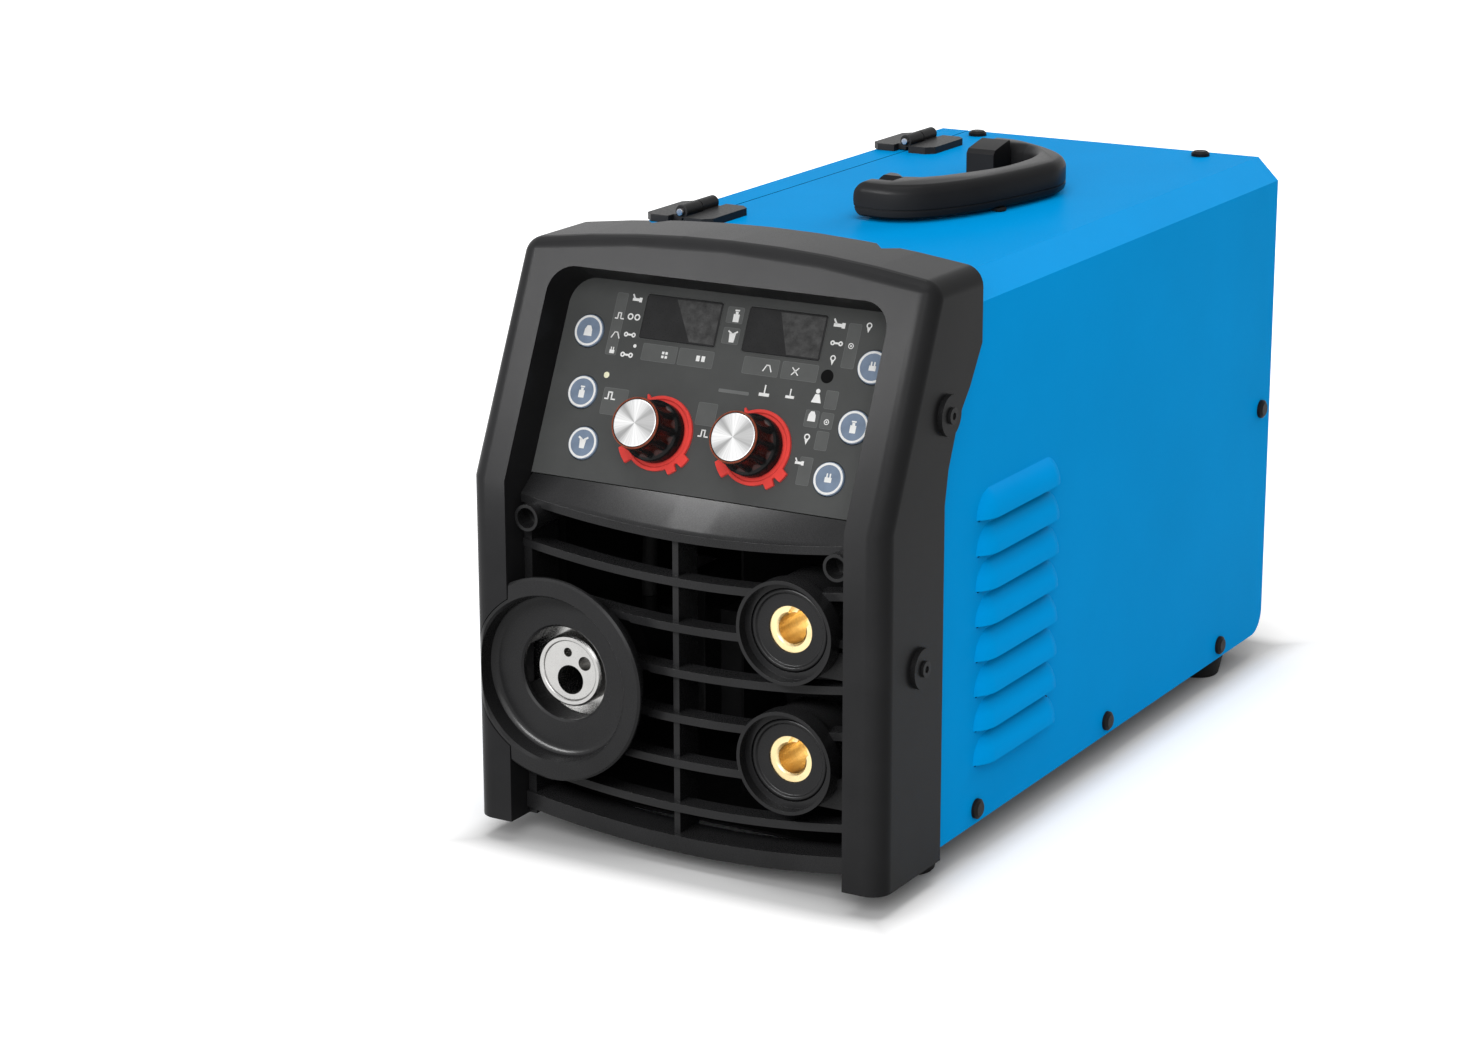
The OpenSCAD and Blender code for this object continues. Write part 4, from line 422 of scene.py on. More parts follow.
class Form:
    """Vertices and faces of one piece, in millimetres."""

    def __init__(self):
        self.points, self.faces, self.slots = [], [], []

    def add(self, points, faces, slot=0):
        base = len(self.points)
        self.points += [tuple(p) for p in points]
        self.faces += [tuple(base + i for i in f) for f in faces]
        self.slots += [slot] * len(faces)

    def rings(self, rings, slot=0, start=True, end=True):
        """Skin over closed rings with equal point counts."""
        n = len(rings[0])
        points = [p for ring in rings for p in ring]
        faces = [(k * n + i, k * n + (i + 1) % n, (k + 1) * n + (i + 1) % n, (k + 1) * n + i)
                 for k in range(len(rings) - 1) for i in range(n)]
        if start:
            faces.append(tuple(range(n - 1, -1, -1)))
        if end:
            faces.append(tuple((len(rings) - 1) * n + i for i in range(n)))
        self.add(points, faces, slot)

    def slab(self, outline, low, high, edge=0.0, slot=0, both=False):
        """Extruded outline with a cut or rounded upper edge."""
        levels = [(low, 0.0)]
        if both and edge:
            levels = [(low, edge), (low + edge * 0.3, edge * 0.3), (low + edge, 0.0)]
        if edge:
            levels += [(high - edge, 0.0), (high - edge * 0.3, edge * 0.3), (high, edge)]
        else:
            levels += [(high, 0.0)]
        self.rings([[(x, y, z) for x, y in (outline_inset(outline, d) if d else outline)] for z,
                    d in levels], slot)

    def turned(self, profile, n=48, slot=0, centre=(0, 0, 0), closed=False):
        """Profile of (radius, height) turned around Z."""
        cx, cy, cz = centre
        rows = [[(cx + r * math.cos(2 * math.pi * k / n), cy + r * math.sin(2 * math.pi * k / n), cz + z)
                 for k in range(n)] for r, z in profile]
        if closed:
            rows.append(rows[0])
        self.rings(rows, slot, start=not closed and profile[0][0] > 0, end=not closed and profile[-1][0] > 0)

    def tube(self, path, r, n=10, slot=0):
        rows = []
        side = None
        for k, p in enumerate(path):
            p = Vector(p)
            ahead = Vector(path[min(k + 1, len(path) - 1)]) - Vector(path[max(k - 1, 0)])
            ahead.normalize()
            if side is None:
                side = ahead.orthogonal().normalized()
            side = (side - ahead * side.dot(ahead)).normalized()
            other = ahead.cross(side)
            turns = [2 * math.pi * i / n for i in range(n)]
            rows.append([tuple(p + side * (r * math.cos(a)) + other * (r * math.sin(a))) for a in turns])
        self.rings(rows, slot)

    def stroke(self, line, width, low, high, slot=0):
        """Thick line through flat points, one bar for each stretch."""
        for (ax, ay), (bx, by) in zip(line, line[1:]):
            d = Vector((bx - ax, by - ay))
            if d.length < 1e-6:
                continue
            d.normalize()
            n = Vector((-d.y, d.x)) * width / 2
            e = d * width * 0.35
            self.slab([(ax - e.x - n.x, ay - e.y - n.y), (bx + e.x - n.x, by + e.y - n.y),
                       (bx + e.x + n.x, by + e.y + n.y), (ax - e.x + n.x, ay - e.y + n.y)], low, high, 0.0,
                       slot)

    def frame(self, outline, width, low, high, slot=0):
        """Flat closed border of the given width."""
        inner = outline_inset(outline, width)
        n = len(outline)
        rows = [[(x, y, low) for x, y in outline], [(x, y, high) for x, y in outline],
                [(x, y, high) for x, y in inner], [(x, y, low) for x, y in inner]]
        rows.append(rows[0])
        self.rings(rows, slot, start=False, end=False)

    def build(self, name, finishes, matrix=None, angle=SHARP_ANGLE):
        mesh = bpy.data.meshes.new(name)
        mesh.from_pydata([(x * MM, y * MM, z * MM) for x, y, z in self.points], [], self.faces)
        mesh.validate()
        for one in finishes:
            mesh.materials.append(finish(one))
        if len(mesh.polygons) == len(self.slots):
            mesh.polygons.foreach_set("material_index", self.slots)
        mesh.polygons.foreach_set("use_smooth", [True] * len(mesh.polygons))
        mesh.set_sharp_from_angle(angle=math.radians(angle))
        piece = bpy.data.objects.new(name, mesh)
        bpy.context.scene.collection.objects.link(piece)
        if matrix is not None:
            piece.matrix_world = matrix
        return piece


def evenly_smooth(angle):
    """Node group that smooths faces and keeps edges sharper than the angle."""
    name = "smooth below %d degrees" % angle
    group = bpy.data.node_groups.get(name)
    if group:
        return group
    group = bpy.data.node_groups.new(name, "GeometryNodeTree")
    group.interface.new_socket("Geometry", in_out="INPUT", socket_type="NodeSocketGeometry")
    group.interface.new_socket("Geometry", in_out="OUTPUT", socket_type="NodeSocketGeometry")
    source, sink = group.nodes.new("NodeGroupInput"), group.nodes.new("NodeGroupOutput")
    faces = group.nodes.new("GeometryNodeSetShadeSmooth")
    edges = group.nodes.new("GeometryNodeSetShadeSmooth")
    faces.domain, edges.domain = "FACE", "EDGE"
    faces.inputs["Shade Smooth"].default_value = True
    edges.inputs["Shade Smooth"].default_value = False
    turn = group.nodes.new("GeometryNodeInputMeshEdgeAngle")
    test = group.nodes.new("FunctionNodeCompare")
    test.operation = "GREATER_THAN"
    test.inputs[1].default_value = math.radians(angle)
    group.links.new(turn.outputs["Unsigned Angle"], test.inputs[0])
    group.links.new(test.outputs[0], edges.inputs["Selection"])
    group.links.new(source.outputs[0], faces.inputs["Geometry"])
    group.links.new(faces.outputs[0], edges.inputs["Geometry"])
    group.links.new(edges.outputs[0], sink.inputs[0])
    return group


def dress(node, finish_name, edge=0.4, steps=2, angle=SHARP_ANGLE, join=True):
    """Gives a node of the frame its finish, and breaks its edges by `edge` millimetres.

    Flat faces are joined before the edges are broken, except on a sheet with many openings.
    """
    piece = NODES[node]
    mesh = piece.data
    mesh.materials.clear()
    mesh.materials.append(finish(finish_name))
    if mesh.attributes.get("custom_normal"):
        mesh.attributes.remove(mesh.attributes["custom_normal"])
    weld = piece.modifiers.new("weld", "WELD")
    weld.merge_threshold = WELD_GAP
    if edge and join:
        flat = piece.modifiers.new("join flat faces", "DECIMATE")
        flat.decimate_type = "DISSOLVE"
        flat.angle_limit = math.radians(FLAT_ANGLE)
    if edge:
        soft = piece.modifiers.new("broken edges", "BEVEL")
        soft.width = edge * MM
        soft.segments = steps
        soft.limit_method = "ANGLE"
        soft.angle_limit = math.radians(angle)
        soft.use_clamp_overlap = True
        soft.miter_outer = "MITER_ARC"
    even = piece.modifiers.new("even shading", "NODES")
    even.node_group = evenly_smooth(angle)
    if edge:
        flat = piece.modifiers.new("flat faces stay flat", "WEIGHTED_NORMAL")
        flat.keep_sharp = True
    return piece


def carve(piece, cutter, operation="DIFFERENCE"):
    """Cuts one mesh with another and keeps the result as the piece's own mesh."""
    cut = piece.modifiers.new("cut", "BOOLEAN")
    cut.operation = operation
    cut.solver = "EXACT"
    cut.object = cutter
    graph = bpy.context.evaluated_depsgraph_get()
    mesh = bpy.data.meshes.new_from_object(piece.evaluated_get(graph))
    piece.modifiers.clear()
    piece.data = mesh
    bpy.data.objects.remove(cutter)
    mesh.polygons.foreach_set("use_smooth", [True] * len(mesh.polygons))
    mesh.set_sharp_from_angle(angle=math.radians(SHARP_ANGLE))


# ---------- settings ----------


class WelderColours(bpy.types.PropertyGroup):
    """Colours a user would change."""

    case_blue: FloatVectorProperty(name="Case", description="Colour of the sheet-metal case", subtype="COLOR",
                                   size=3, min=0, max=1, default=(0.0, 0.262, 0.62))
    moulding: FloatVectorProperty(name="Mouldings", description="Colour of the black mouldings",
                                  subtype="COLOR",
                                  size=3, min=0, max=1, default=(0.0125, 0.0125, 0.013))
    panel: FloatVectorProperty(name="Panel", description="Colour of the control panel's film",
                               subtype="COLOR",
                               size=3, min=0, max=1, default=(0.068, 0.07, 0.069))
    button: FloatVectorProperty(name="Buttons", description="Colour of the push buttons", subtype="COLOR",
                                size=3, min=0, max=1, default=(0.17, 0.22, 0.3))
    red: FloatVectorProperty(name="Red parts", description="Colour of the knob rings and the rocker",
                             subtype="COLOR", size=3, min=0, max=1, default=(0.74, 0.06, 0.05))


class WelderSizes(bpy.types.PropertyGroup):
    """Sizes a user would change."""

    sheet_edge: FloatProperty(name="Sheet edge",
                              description="Width of the broken edges of sheet parts, in mm",
                              default=0.35, min=0.05, max=1.0)
    moulded_edge: FloatProperty(name="Moulded edge",
                                description="Width of the soft edges of mouldings, in mm",
                                default=0.5, min=0.05, max=1.5)
    handle_edge: FloatProperty(name="Handle edge", description="Rounding of the handle, in mm", default=3.6,
                               min=1.0, max=5.0)
    wire: FloatProperty(name="Wire", description="Diameter of the welding wire, in mm", default=1.0, min=0.6,
                        max=1.6)
    flutes: IntProperty(name="Flutes", description="Number of flutes around a knob", default=10, min=6,
                        max=24)


class WelderStudio(bpy.types.PropertyGroup):
    """Lamps and camera."""

    overhead: FloatProperty(name="Overhead lamp", description="Power of the lamp above the case",
                            unit="POWER",
                            default=17.5, min=0)
    side: FloatProperty(name="Side lamp", description="Power of the lamp to the right", unit="POWER",
                        default=7.0, min=0)
    front: FloatProperty(name="Front lamp", description="Power of the lamp in front", unit="POWER",
                         default=20.0, min=0)
    edge: FloatProperty(name="Edge lamp", description="Power of the lamp behind, for the case's top edges",
                        unit="POWER", default=20.0, min=0)
    bezel: FloatProperty(name="Bezel lamp", description="Power of the lamp for the black mouldings",
                         unit="POWER",
                         default=100.0, min=0)
    ridge: FloatProperty(name="Ridge lamp", description="Power of the lamp behind, for the mouldings on top",
                         unit="POWER", default=0.6, min=0)
    surroundings: FloatProperty(name="Surroundings",
                                description="Strength of the white surroundings as light",
                                default=0.35, min=0)
    floor_glow: FloatProperty(name="Floor glow", description="What the floor gives off to the camera",
                              default=0.4, min=0, max=1)
    lens: FloatProperty(name="Lens", description="Focal length of the camera", unit="CAMERA", default=85.594,
                        min=20)


def settings():
    scene = bpy.context.scene
    return scene.welder_colours, scene.welder_sizes, scene.welder_studio


# ---------- operators ----------


class WELDER_OT_finishes(bpy.types.Operator):
    """Makes the finishes of all pieces"""

    bl_idname = "welder.finishes"
    bl_label = "Finishes"

    def execute(self, context):
        make_finishes(settings()[0])
        return {"FINISHED"}


class WELDER_OT_case(bpy.types.Operator):
    """Sheet-metal cover, side door, chassis, partition and rear panel"""

    bl_idname = "welder.case"
    bl_label = "Case"

    def execute(self, context):
        edge = settings()[1].sheet_edge
        dress("cover", "blue powder coat", edge, join=False)
        dress("side_door", "blue powder coat", edge)
        dress("chassis_pan", "black powder coat", edge)
        # the partition's real black coat is darkened further as painted shade
        dress("centre_partition", "matt black inside", edge)
        dress("rear_panel", "black powder coat", edge)
        return {"FINISHED"}


class WELDER_OT_front(bpy.types.Operator):
    """Front frame, grille, torch flange and connector, output sockets"""

    bl_idname = "welder.front"
    bl_label = "Front"

    def execute(self, context):
        edge = settings()[1].moulded_edge
        dress("front_frame", "textured black moulding", edge)
        dress("front_grille", "satin black moulding", 1.0, 3)
        dress("torch_flange", "satin black moulding", 0.3)
        dress("torch_connector", "turned nickel", 0.3)
        dress("socket_housings", "satin black moulding", 0.3)
        dress("socket_inserts", "turned brass", 0.3)
        return {"FINISHED"}


ICONS = {
    "torch": [("bar", (-0.5, -0.12, 0.15, 0.12)), ("bar", (0.15, -0.2, 0.42, 0.2)),
              ("line", [(-0.3, 0.1), (-0.5, 0.4)])],
    "rings": [("ring", (-0.28, 0, 0.24)), ("ring", (0.28, 0, 0.24))],
    "steps": [("line", [(-0.5, -0.3), (-0.2, -0.3), (-0.2, 0.3), (0.15, 0.3), (0.15, -0.3), (0.5, -0.3)])],
    "slope": [("line", [(-0.5, -0.35), (-0.15, 0.3), (0.2, 0.3), (0.5, -0.35)])],
    "chain": [("ring", (-0.32, 0, 0.18)), ("ring", (0.32, 0, 0.18)), ("bar", (-0.14, -0.07, 0.14, 0.07))],
    "grid": [("bar", (-0.4, 0.08, -0.08, 0.4)), ("bar", (0.08, 0.08, 0.4, 0.4)),
             ("bar", (-0.4, -0.4, -0.08, -0.08)),
             ("bar", (0.08, -0.4, 0.4, -0.08))],
    "bottle": [("bar", (-0.26, -0.5, 0.26, 0.12)), ("bar", (-0.12, 0.12, 0.12, 0.32)),
               ("bar", (-0.2, 0.36, 0.2, 0.48))],
    "cup": [("poly", [(-0.3, 0.3), (-0.22, -0.45), (0.22, -0.45), (0.3, 0.3)]),
            ("line", [(-0.4, 0.45), (-0.15, 0.3)]),
            ("line", [(0.4, 0.45), (0.15, 0.3)])],
    "hood": [("poly", [(-0.38, -0.45), (0.38, -0.45), (0.34, 0.1), (0.16, 0.42), (-0.16, 0.42),
                       (-0.34, 0.1)])],
    "drop": [("ring", (0, 0.12, 0.26)), ("poly", [(-0.16, -0.1), (0.0, -0.5), (0.16, -0.1)])],
    "fan": [("line", [(-0.4, -0.4), (0.4, 0.4)]), ("line", [(-0.4, 0.4), (0.4, -0.4)]),
            ("dot", (0, 0, 0.18))],
    "reel": [("ring", (0, 0, 0.36)), ("dot", (0, 0, 0.12))],
    "plug": [("bar", (-0.3, -0.3, 0.3, 0.1)), ("bar", (-0.2, 0.1, -0.08, 0.42)),
             ("bar", (0.08, 0.1, 0.2, 0.42))],
    "person": [("dot", (0, 0.34, 0.17)), ("poly", [(-0.4, -0.5), (0.4, -0.5), (0.16, 0.12), (-0.16, 0.12)])],
    "base": [("bar", (-0.5, -0.5, 0.5, -0.22)), ("line", [(0, -0.2), (0, 0.45)])],
    "pair": [("bar", (-0.5, -0.28, -0.1, 0.28)), ("bar", (0.1, -0.28, 0.5, 0.28))],
}


def draw_icon(form, kind, x, s, size, low, high, slot=0, line=0.13):
    for what, data in ICONS[kind]:
        if what == "bar":
            x0, y0, x1, y1 = (v * size for v in data)
            form.slab([(x + x0, s + y0), (x + x1, s + y0), (x + x1, s + y1), (x + x0, s + y1)], low, high,
                      0.0, slot)
        elif what == "ring":
            cx, cy, r = (v * size for v in data)
            form.frame(circle(r, 20, x + cx, s + cy), max(0.3, size * line * 0.8), low, high, slot)
        elif what == "dot":
            cx, cy, r = (v * size for v in data)
            form.slab(circle(r, 16, x + cx, s + cy), low, high, 0.0, slot)
        elif what == "poly":
            form.slab([(x + a * size, s + b * size) for a, b in data], low, high, 0.0, slot)
        else:
            form.stroke([(x + a * size, s + b * size) for a, b in data], max(0.3, size * line), low, high,
                        slot)


FIELDS = [  # x, s, width, height of the pale fields printed on the film
    (-57.5, 77.0, 5.6, 28.0), (-50.2, 42.6, 12.6, 12.0), (58.6, 80.2, 6.2, 19.5), (54.6, 56.2, 6.0, 8.0),
    (54.6, 47.1, 6.0, 7.0), (54.2, 38.4, 6.0, 8.2), (49.2, 24.6, 6.2, 12.2), (-3.4, 42.8, 9.6, 10.0),
    (0.1, 87.2, 8.2, 7.2), (0.1, 78.0, 8.2, 7.2), (47.2, 47.2, 6.6, 7.4), (-33.1, 66.3, 17.6, 7.6),
    (-14.6, 66.3, 17.6, 7.6), (17.8, 66.4, 17.6, 7.6), (36.8, 66.4, 17.6, 7.6),
]

MARKS = [  # icon, x, s, size
    ("torch", -49.6, 88.7, 5.2), ("rings", -49.7, 80.9, 6.2), ("steps", -56.9, 80.7, 4.2),
    ("chain", -49.8, 72.9, 6.0),
    ("slope", -56.9, 72.1, 4.0), ("dot", -46.0, 68.2, 1.6), ("plug", -57.0, 64.9, 4.0),
    ("chain", -49.2, 63.9, 6.4),
    ("grid", -30.3, 65.9, 3.6), ("pair", -12.2, 66.4, 4.4), ("bottle", 0.8, 87.0, 5.6),
    ("cup", 0.8, 77.6, 5.4),
    ("torch", 51.2, 88.4, 6.0), ("chain", 51.4, 80.6, 6.0), ("drop", 51.2, 73.5, 5.0),
    ("drop", 65.0, 89.2, 5.2),
    ("reel", 58.4, 80.2, 3.6), ("slope", 21.2, 66.2, 4.0), ("fan", 34.7, 66.3, 3.8),
    ("base", 22.2, 56.4, 5.0),
    ("base", 34.7, 56.6, 4.2), ("person", 47.6, 57.2, 6.0), ("hood", 47.2, 48.3, 5.0),
    ("reel", 54.6, 46.6, 3.4),
    ("drop", 47.0, 38.6, 5.4), ("torch", 46.2, 27.8, 4.6), ("steps", -2.9, 34.4, 4.6),
    ("steps", -52.8, 45.1, 5.0),
]

BUTTON_ICONS = ["hood", "bottle", "cup", "plug", "bottle", "plug"]


class WELDER_OT_panel(bpy.types.Operator):
    """Control panel: film, printed fields and marks, display windows, board behind"""

    bl_idname = "welder.panel"
    bl_label = "Control panel"

    def execute(self, context):
        dress("control_panel", "panel film", 0.25)
        dress("display_windows", "smoked window", 0.25)
        dress("control_board", "solder mask", 0.15)
        print_form = Form()
        for x, s, w, h in FIELDS:
            outline = rounded(w, h, 0.7, x, s, 3)
            print_form.slab(outline, -0.02, 0.03, 0.0, 0)
            print_form.frame(outline, 0.16, -0.02, 0.045, 1)
        fields = print_form.build("printed_fields", ["film field", "field border"], panel_matrix(0, 0, 0.0))
        marks = Form()
        for kind, x, s, size in MARKS:
            if kind == "dot":
                marks.slab(circle(size / 2, 16, x, s), -0.02, 0.07, 0.0, 0)
            else:
                draw_icon(marks, kind, x, s, size, -0.02, 0.07)
        # blank maker's strip between the knobs and the displays
        marks.slab(rounded(15.0, 1.5, 0.4, 7.4, 54.0, 2), -0.02, 0.05, 0.0, 1)
        marks.slab(circle(1.5, 20, -57.0, 53.9), -0.02, 0.12, 0.3, 2)
        marks.slab(circle(3.0, 28, 50.3, 66.0), -0.02, 0.06, 0.0, 3)
        printed = marks.build("printed_marks", ["white print", "field border", "indicator lamp",
                                                "matt black inside"],
                              panel_matrix(0, 0, 0.0))
        bezels = Form()
        painted_reflection = Form()
        for k in (-1, 1):
            outline = rounded(39.4, 20.9, 1.2, k * 25.8, 82, 4)
            bezels.frame(outline, 0.45, -0.3, 0.12, 0)
            x = k * 25.8
            left = (-4.1, 9.2) if k < 0 else (-3.8, 6.0)
            # a pale slanted patch over each display window, a painted reflection
            painted_reflection.slab([(x + left[1] - 3.2, 73.0), (x + 18.2, 73.0), (x + 18.2, 91.0), (x + left[0], 91.0)],
                      -0.02,
                      0.03, 0.0, 0)
        borders = bezels.build("display_borders", ["panel film"], panel_matrix(0, 0, 0.0))
        ghosts = painted_reflection.build("display_reflections", ["display haze"], panel_matrix(0, 0, 0.0))
        for piece, slot in ((fields, "panel_film"), (printed, "panel_film"), (borders, "panel_film"),
                            (ghosts, "smoked_window")):
            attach(piece, "machine")
        return {"FINISHED"}


RING_R = 16.6
# start and end of a tab in degrees, reach in millimetres
RING_TABS = [(206, 228, 20.0), (297, 311, 19.4), (317, 333, 19.8), (118, 120, 18.6), (132, 134, 18.6)]
STEM_R = 3.0
STEM_LOW, STEM_HIGH = -10.0, 2.0


class WELDER_OT_knobs(bpy.types.Operator):
    """Fluted knobs with spun caps, and the red rings under them"""

    bl_idname = "welder.knobs"
    bl_label = "Knobs"

    def execute(self, context):
        flutes = settings()[1].flutes
        for side, name in ((-1, "left"), (1, "right")):
            ring = Form()
            outline = []
            for k in range(180):
                turn = 2 * k
                r = RING_R
                for start, end, reach in RING_TABS:
                    if start <= turn <= end:
                        r = reach
                outline.append((r * math.cos(math.radians(turn)), r * math.sin(math.radians(turn))))
            hole = circle(3.9, 180)
            step = circle(15.2, 180)
            low = circle(14.7, 180)
            ring.rings([[(x, y, 0.05) for x, y in hole], [(x, y, 0.05) for x, y in outline],
                        [(x, y, 1.25) for x, y in outline], [(x * 0.988, y * 0.988, 1.5) for x, y in outline],
                        [(x, y, 1.5) for x, y in step], [(x, y, 0.9) for x, y in low],
                        [(x, y, 0.9) for x, y in hole], [(x, y, 0.05) for x, y in hole]], 0, False, False)
            skirt = ring.build(name + "_knob_ring", ["red moulding"], panel_matrix(side * KNOB_X, KNOB_S), 30)
            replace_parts(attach(skirt, "machine"), "knob_rings")
        for side, name in ((-1, "left_knob"), (1, "right_knob")):
            n = flutes * 12
            levels = [(2.0, 13.1, 0.0), (2.3, 13.5, 0.0), (7.4, 13.5, 0.0), (8.0, 13.2, 0.0),
                      (8.6, 12.6, 0.3),
                      (9.6, 12.5, 1.1), (11.5, 12.35, 1.5), (14.0, 12.1, 1.6), (16.6, 11.9, 1.4),
                      (18.6, 11.75, 0.9), (19.6, 11.6, 0.25), (20.2, 11.5, 0.0), (21.5, 11.35, 0.0),
                      (21.95, 11.0, 0.0), (22.0, 10.5, 0.0), (21.3, 10.4, 0.0)]
            rows = []
            for z, r, deep in levels:
                row = []
                for k in range(n):
                    a = 2 * math.pi * k / n
                    w = (a * flutes / (2 * math.pi)) % 1.0
                    dip = deep * 1.35 * max(0.0, math.sin(math.pi * w)) ** 1.4
                    row.append(((r - dip) * math.cos(a), (r - dip) * math.sin(a), z))
                rows.append(row)
            form = Form()
            stem = [[(x, y, z) for x, y in circle(STEM_R, n)] for z in (STEM_LOW, STEM_HIGH)]
            form.rings(stem + rows, 0)
            for i, face in enumerate(form.faces):
                if len(face) == 4:
                    ring, k = divmod(i, n)
                    w = (k + 0.5) / n * flutes % 1.0
                    if 6 <= ring <= 11 and 0.22 < w < 0.78:
                        form.slots[i] = 2
            form.turned([(10.55, 21.7), (10.7, 22.02), (11.25, 22.02), (11.45, 21.6), (11.3, 21.3),
                         (10.6, 21.3)],
                        72, 1, closed=True)
            body = form.build(name + "_grip", ["satin black moulding", "amber rim", "maroon flute"],
                              panel_matrix(side * KNOB_X, KNOB_S), 40)
            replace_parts(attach(body, name), name)
            cap = Form()
            cap.turned([(10.3, 21.25), (10.3, 21.95), (10.0, 22.12), (9.0, 22.14), (4.0, 22.14),
                        (0.6, 22.14)], 96)
            top = cap.build(name + "_cap_face", ["spun cap"], panel_matrix(side * KNOB_X, KNOB_S), 25)
            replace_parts(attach(top, name), name + "_cap")
        return {"FINISHED"}


class WELDER_OT_buttons(bpy.types.Operator):
    """Six push buttons: slate caps with a white ring and a mark"""

    bl_idname = "welder.buttons"
    bl_label = "Buttons"

    def execute(self, context):
        for k, (x, s) in enumerate(BUTTON_PLACES):
            name = "button_%d" % (k + 1)
            form = Form()
            form.turned([(2.0, -6.9), (2.0, -4.0), (8.5, -4.0), (8.5, -2.8), (7.3, -2.8), (7.3, 0.55),
                         (7.0, 0.85),
                         (6.8, 0.86), (6.7, 0.84), (5.9, 0.84), (5.6, 0.8), (3.0, 0.86), (0.4, 0.88)], 56, 0)
            form.turned([(5.9, 0.8), (5.95, 0.97), (6.85, 0.97), (6.95, 0.8)], 56, 1, closed=True)
            draw_icon(form, BUTTON_ICONS[k], 0, 0, 5.4, 0.7, 0.96, 1, 0.16)
            cap = form.build(name + "_cap", ["slate cap", "white print"], panel_matrix(x, s))
            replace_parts(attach(cap, name), name)
        return {"FINISHED"}


HANDLE_REACH, HANDLE_L, REAR_ARM, FRONT_ARM = 51.0, 145.5, 16.4, 35.0
HANDLE_AXIS_X, HANDLE_FRONT_Y, HANDLE_AXIS_Z = -1.5, 176.5, 270.2
PIN_R = 2.55


def handle_outline():
    w, length, e = HANDLE_REACH, HANDLE_L, -9.0
    outer = smooth_line([(e + 4, 0.9), (10.5, 0), (w - 27.5, 7.5), (w - 17.5, 22.5), (w - 10, 41.5),
                         (w - 4.5, 63.5),
                         (w - 0.6, 86), (w, 97.5), (w - 3, 110), (w - 9, 119.5), (w - 19, length - 16.5),
                         (w - 30, length - 8.5), (8, length - 1.5), (e + 4, length)], 5)
    inner = smooth_line([(e, length - REAR_ARM), (12.5, length - REAR_ARM), (18, length - REAR_ARM - 1.6),
                         (w - 27, length - REAR_ARM - 7), (w - 21, 112), (w - 18.6, 94), (w - 20.5, 71.5),
                         (w - 26, 55.5), (w - 34, 38)], 5)
    tail = [(11.5, 30.6), (6, FRONT_ARM - 6.6), (1, FRONT_ARM - 1), (-3, FRONT_ARM), (e, FRONT_ARM)]
    return [(e, 3.5)] + outer + [(e, length)] + inner + tail


class WELDER_OT_handle(bpy.types.Operator):
    """Folding carrying handle, its brackets and pins"""

    bl_idname = "welder.handle"
    bl_label = "Handle"

    def execute(self, context):
        edge = settings()[1].handle_edge
        outline = handle_outline()
        levels = [(edge, -8.0), (edge * 0.45, -7.6), (edge * 0.12, -6.6), (0.0, -5.2), (0.0, -3.9),
                  (0.45, -3.7),
                  (0.45, -3.3), (0.0, -3.1), (0.0, 3.6), (0.35, 4.8), (edge * 0.4, 6.6), (edge * 0.75, 7.6),
                  (edge + 0.4, 8.0)]
        form = Form()
        form.rings([[(x, y, z) for x, y in (outline_inset(outline, d) if d else outline)] for d, z in levels])
        place = Matrix.Translation(at(HANDLE_AXIS_X, HANDLE_FRONT_Y, HANDLE_AXIS_Z))
        handle = form.build("grip_bar", ["textured black moulding"], place, 32)
        slot = Form()
        slot.slab([(-16, 12.4), (6.6, 12.4), (6.6, 24.6), (-16, 24.6)], -16, 16)
        carve(handle, slot.build("slot_cutter", ["textured black moulding"], place))
        ends = Form()
        ends.rings([[(9.0 * math.cos(a) if math.cos(a) < 0 else 20.0, y,
                      (9.0 if math.cos(a) < 0 else 20.0) * math.sin(a))
                     for a in [math.pi / 2 + math.pi * k / 24 for k in range(25)]]
                    + [(60, y, -12), (60, y, 12)] for y in (-5, 160)])
        carve(handle, ends.build("end_cutter", ["textured black moulding"], place), "INTERSECT")
        bore = Form()
        bore.turned([(PIN_R, 0), (PIN_R, 150)], 32)
        turn = Matrix.Translation(at(HANDLE_AXIS_X, HANDLE_FRONT_Y + 3.4, HANDLE_AXIS_Z))
        turn = turn @ Matrix.Rotation(-math.pi / 2, 4, "X")
        carve(handle, bore.build("bore_cutter", ["textured black moulding"], turn))
        pads = Form()
        for x, y in ((HANDLE_REACH - 9.5, 52), (HANDLE_REACH - 11, 112)):
            pads.turned([(3.1, -9.08), (3.5, -8.7), (3.5, -7.6)], 32, 0, (x, y, 0))
        feet = pads.build("grip_pads", ["black rubber"], place)
        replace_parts(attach(handle, "handle"), "handle")
        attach(feet, "handle")
        dress("handle_brackets", "textured black moulding", 1.1, 3)
        dress("pivot_pins", "turned steel", 0.3)
        return {"FINISHED"}


class WELDER_OT_hinges(bpy.types.Operator):
    """Butt hinges on the top and the quarter-turn latch of the door"""

    bl_idname = "welder.hinges"
    bl_label = "Hinges and latch"

    def execute(self, context):
        dress("hinge_leaves", "black powder coat", 0.7, 3)
        dress("door_leaves", "black powder coat", 0.7, 3)
        dress("door_latch", "satin black moulding", 0.6)
        return {"FINISHED"}


class WELDER_OT_fasteners(bpy.types.Operator):
    """Case screws and feet"""

    bl_idname = "welder.fasteners"
    bl_label = "Screws and feet"

    def execute(self, context):
        dress("case_screws", "black powder coat", 0.25)
        dress("feet", "black rubber", 0.5)
        return {"FINISHED"}


COIL_TURNS, COIL_L, COIL_R, COIL_WIRE_R = 6, 14.0, 3.85, 0.6
COIL_STEPS = 24
ROD_LEAN = 30


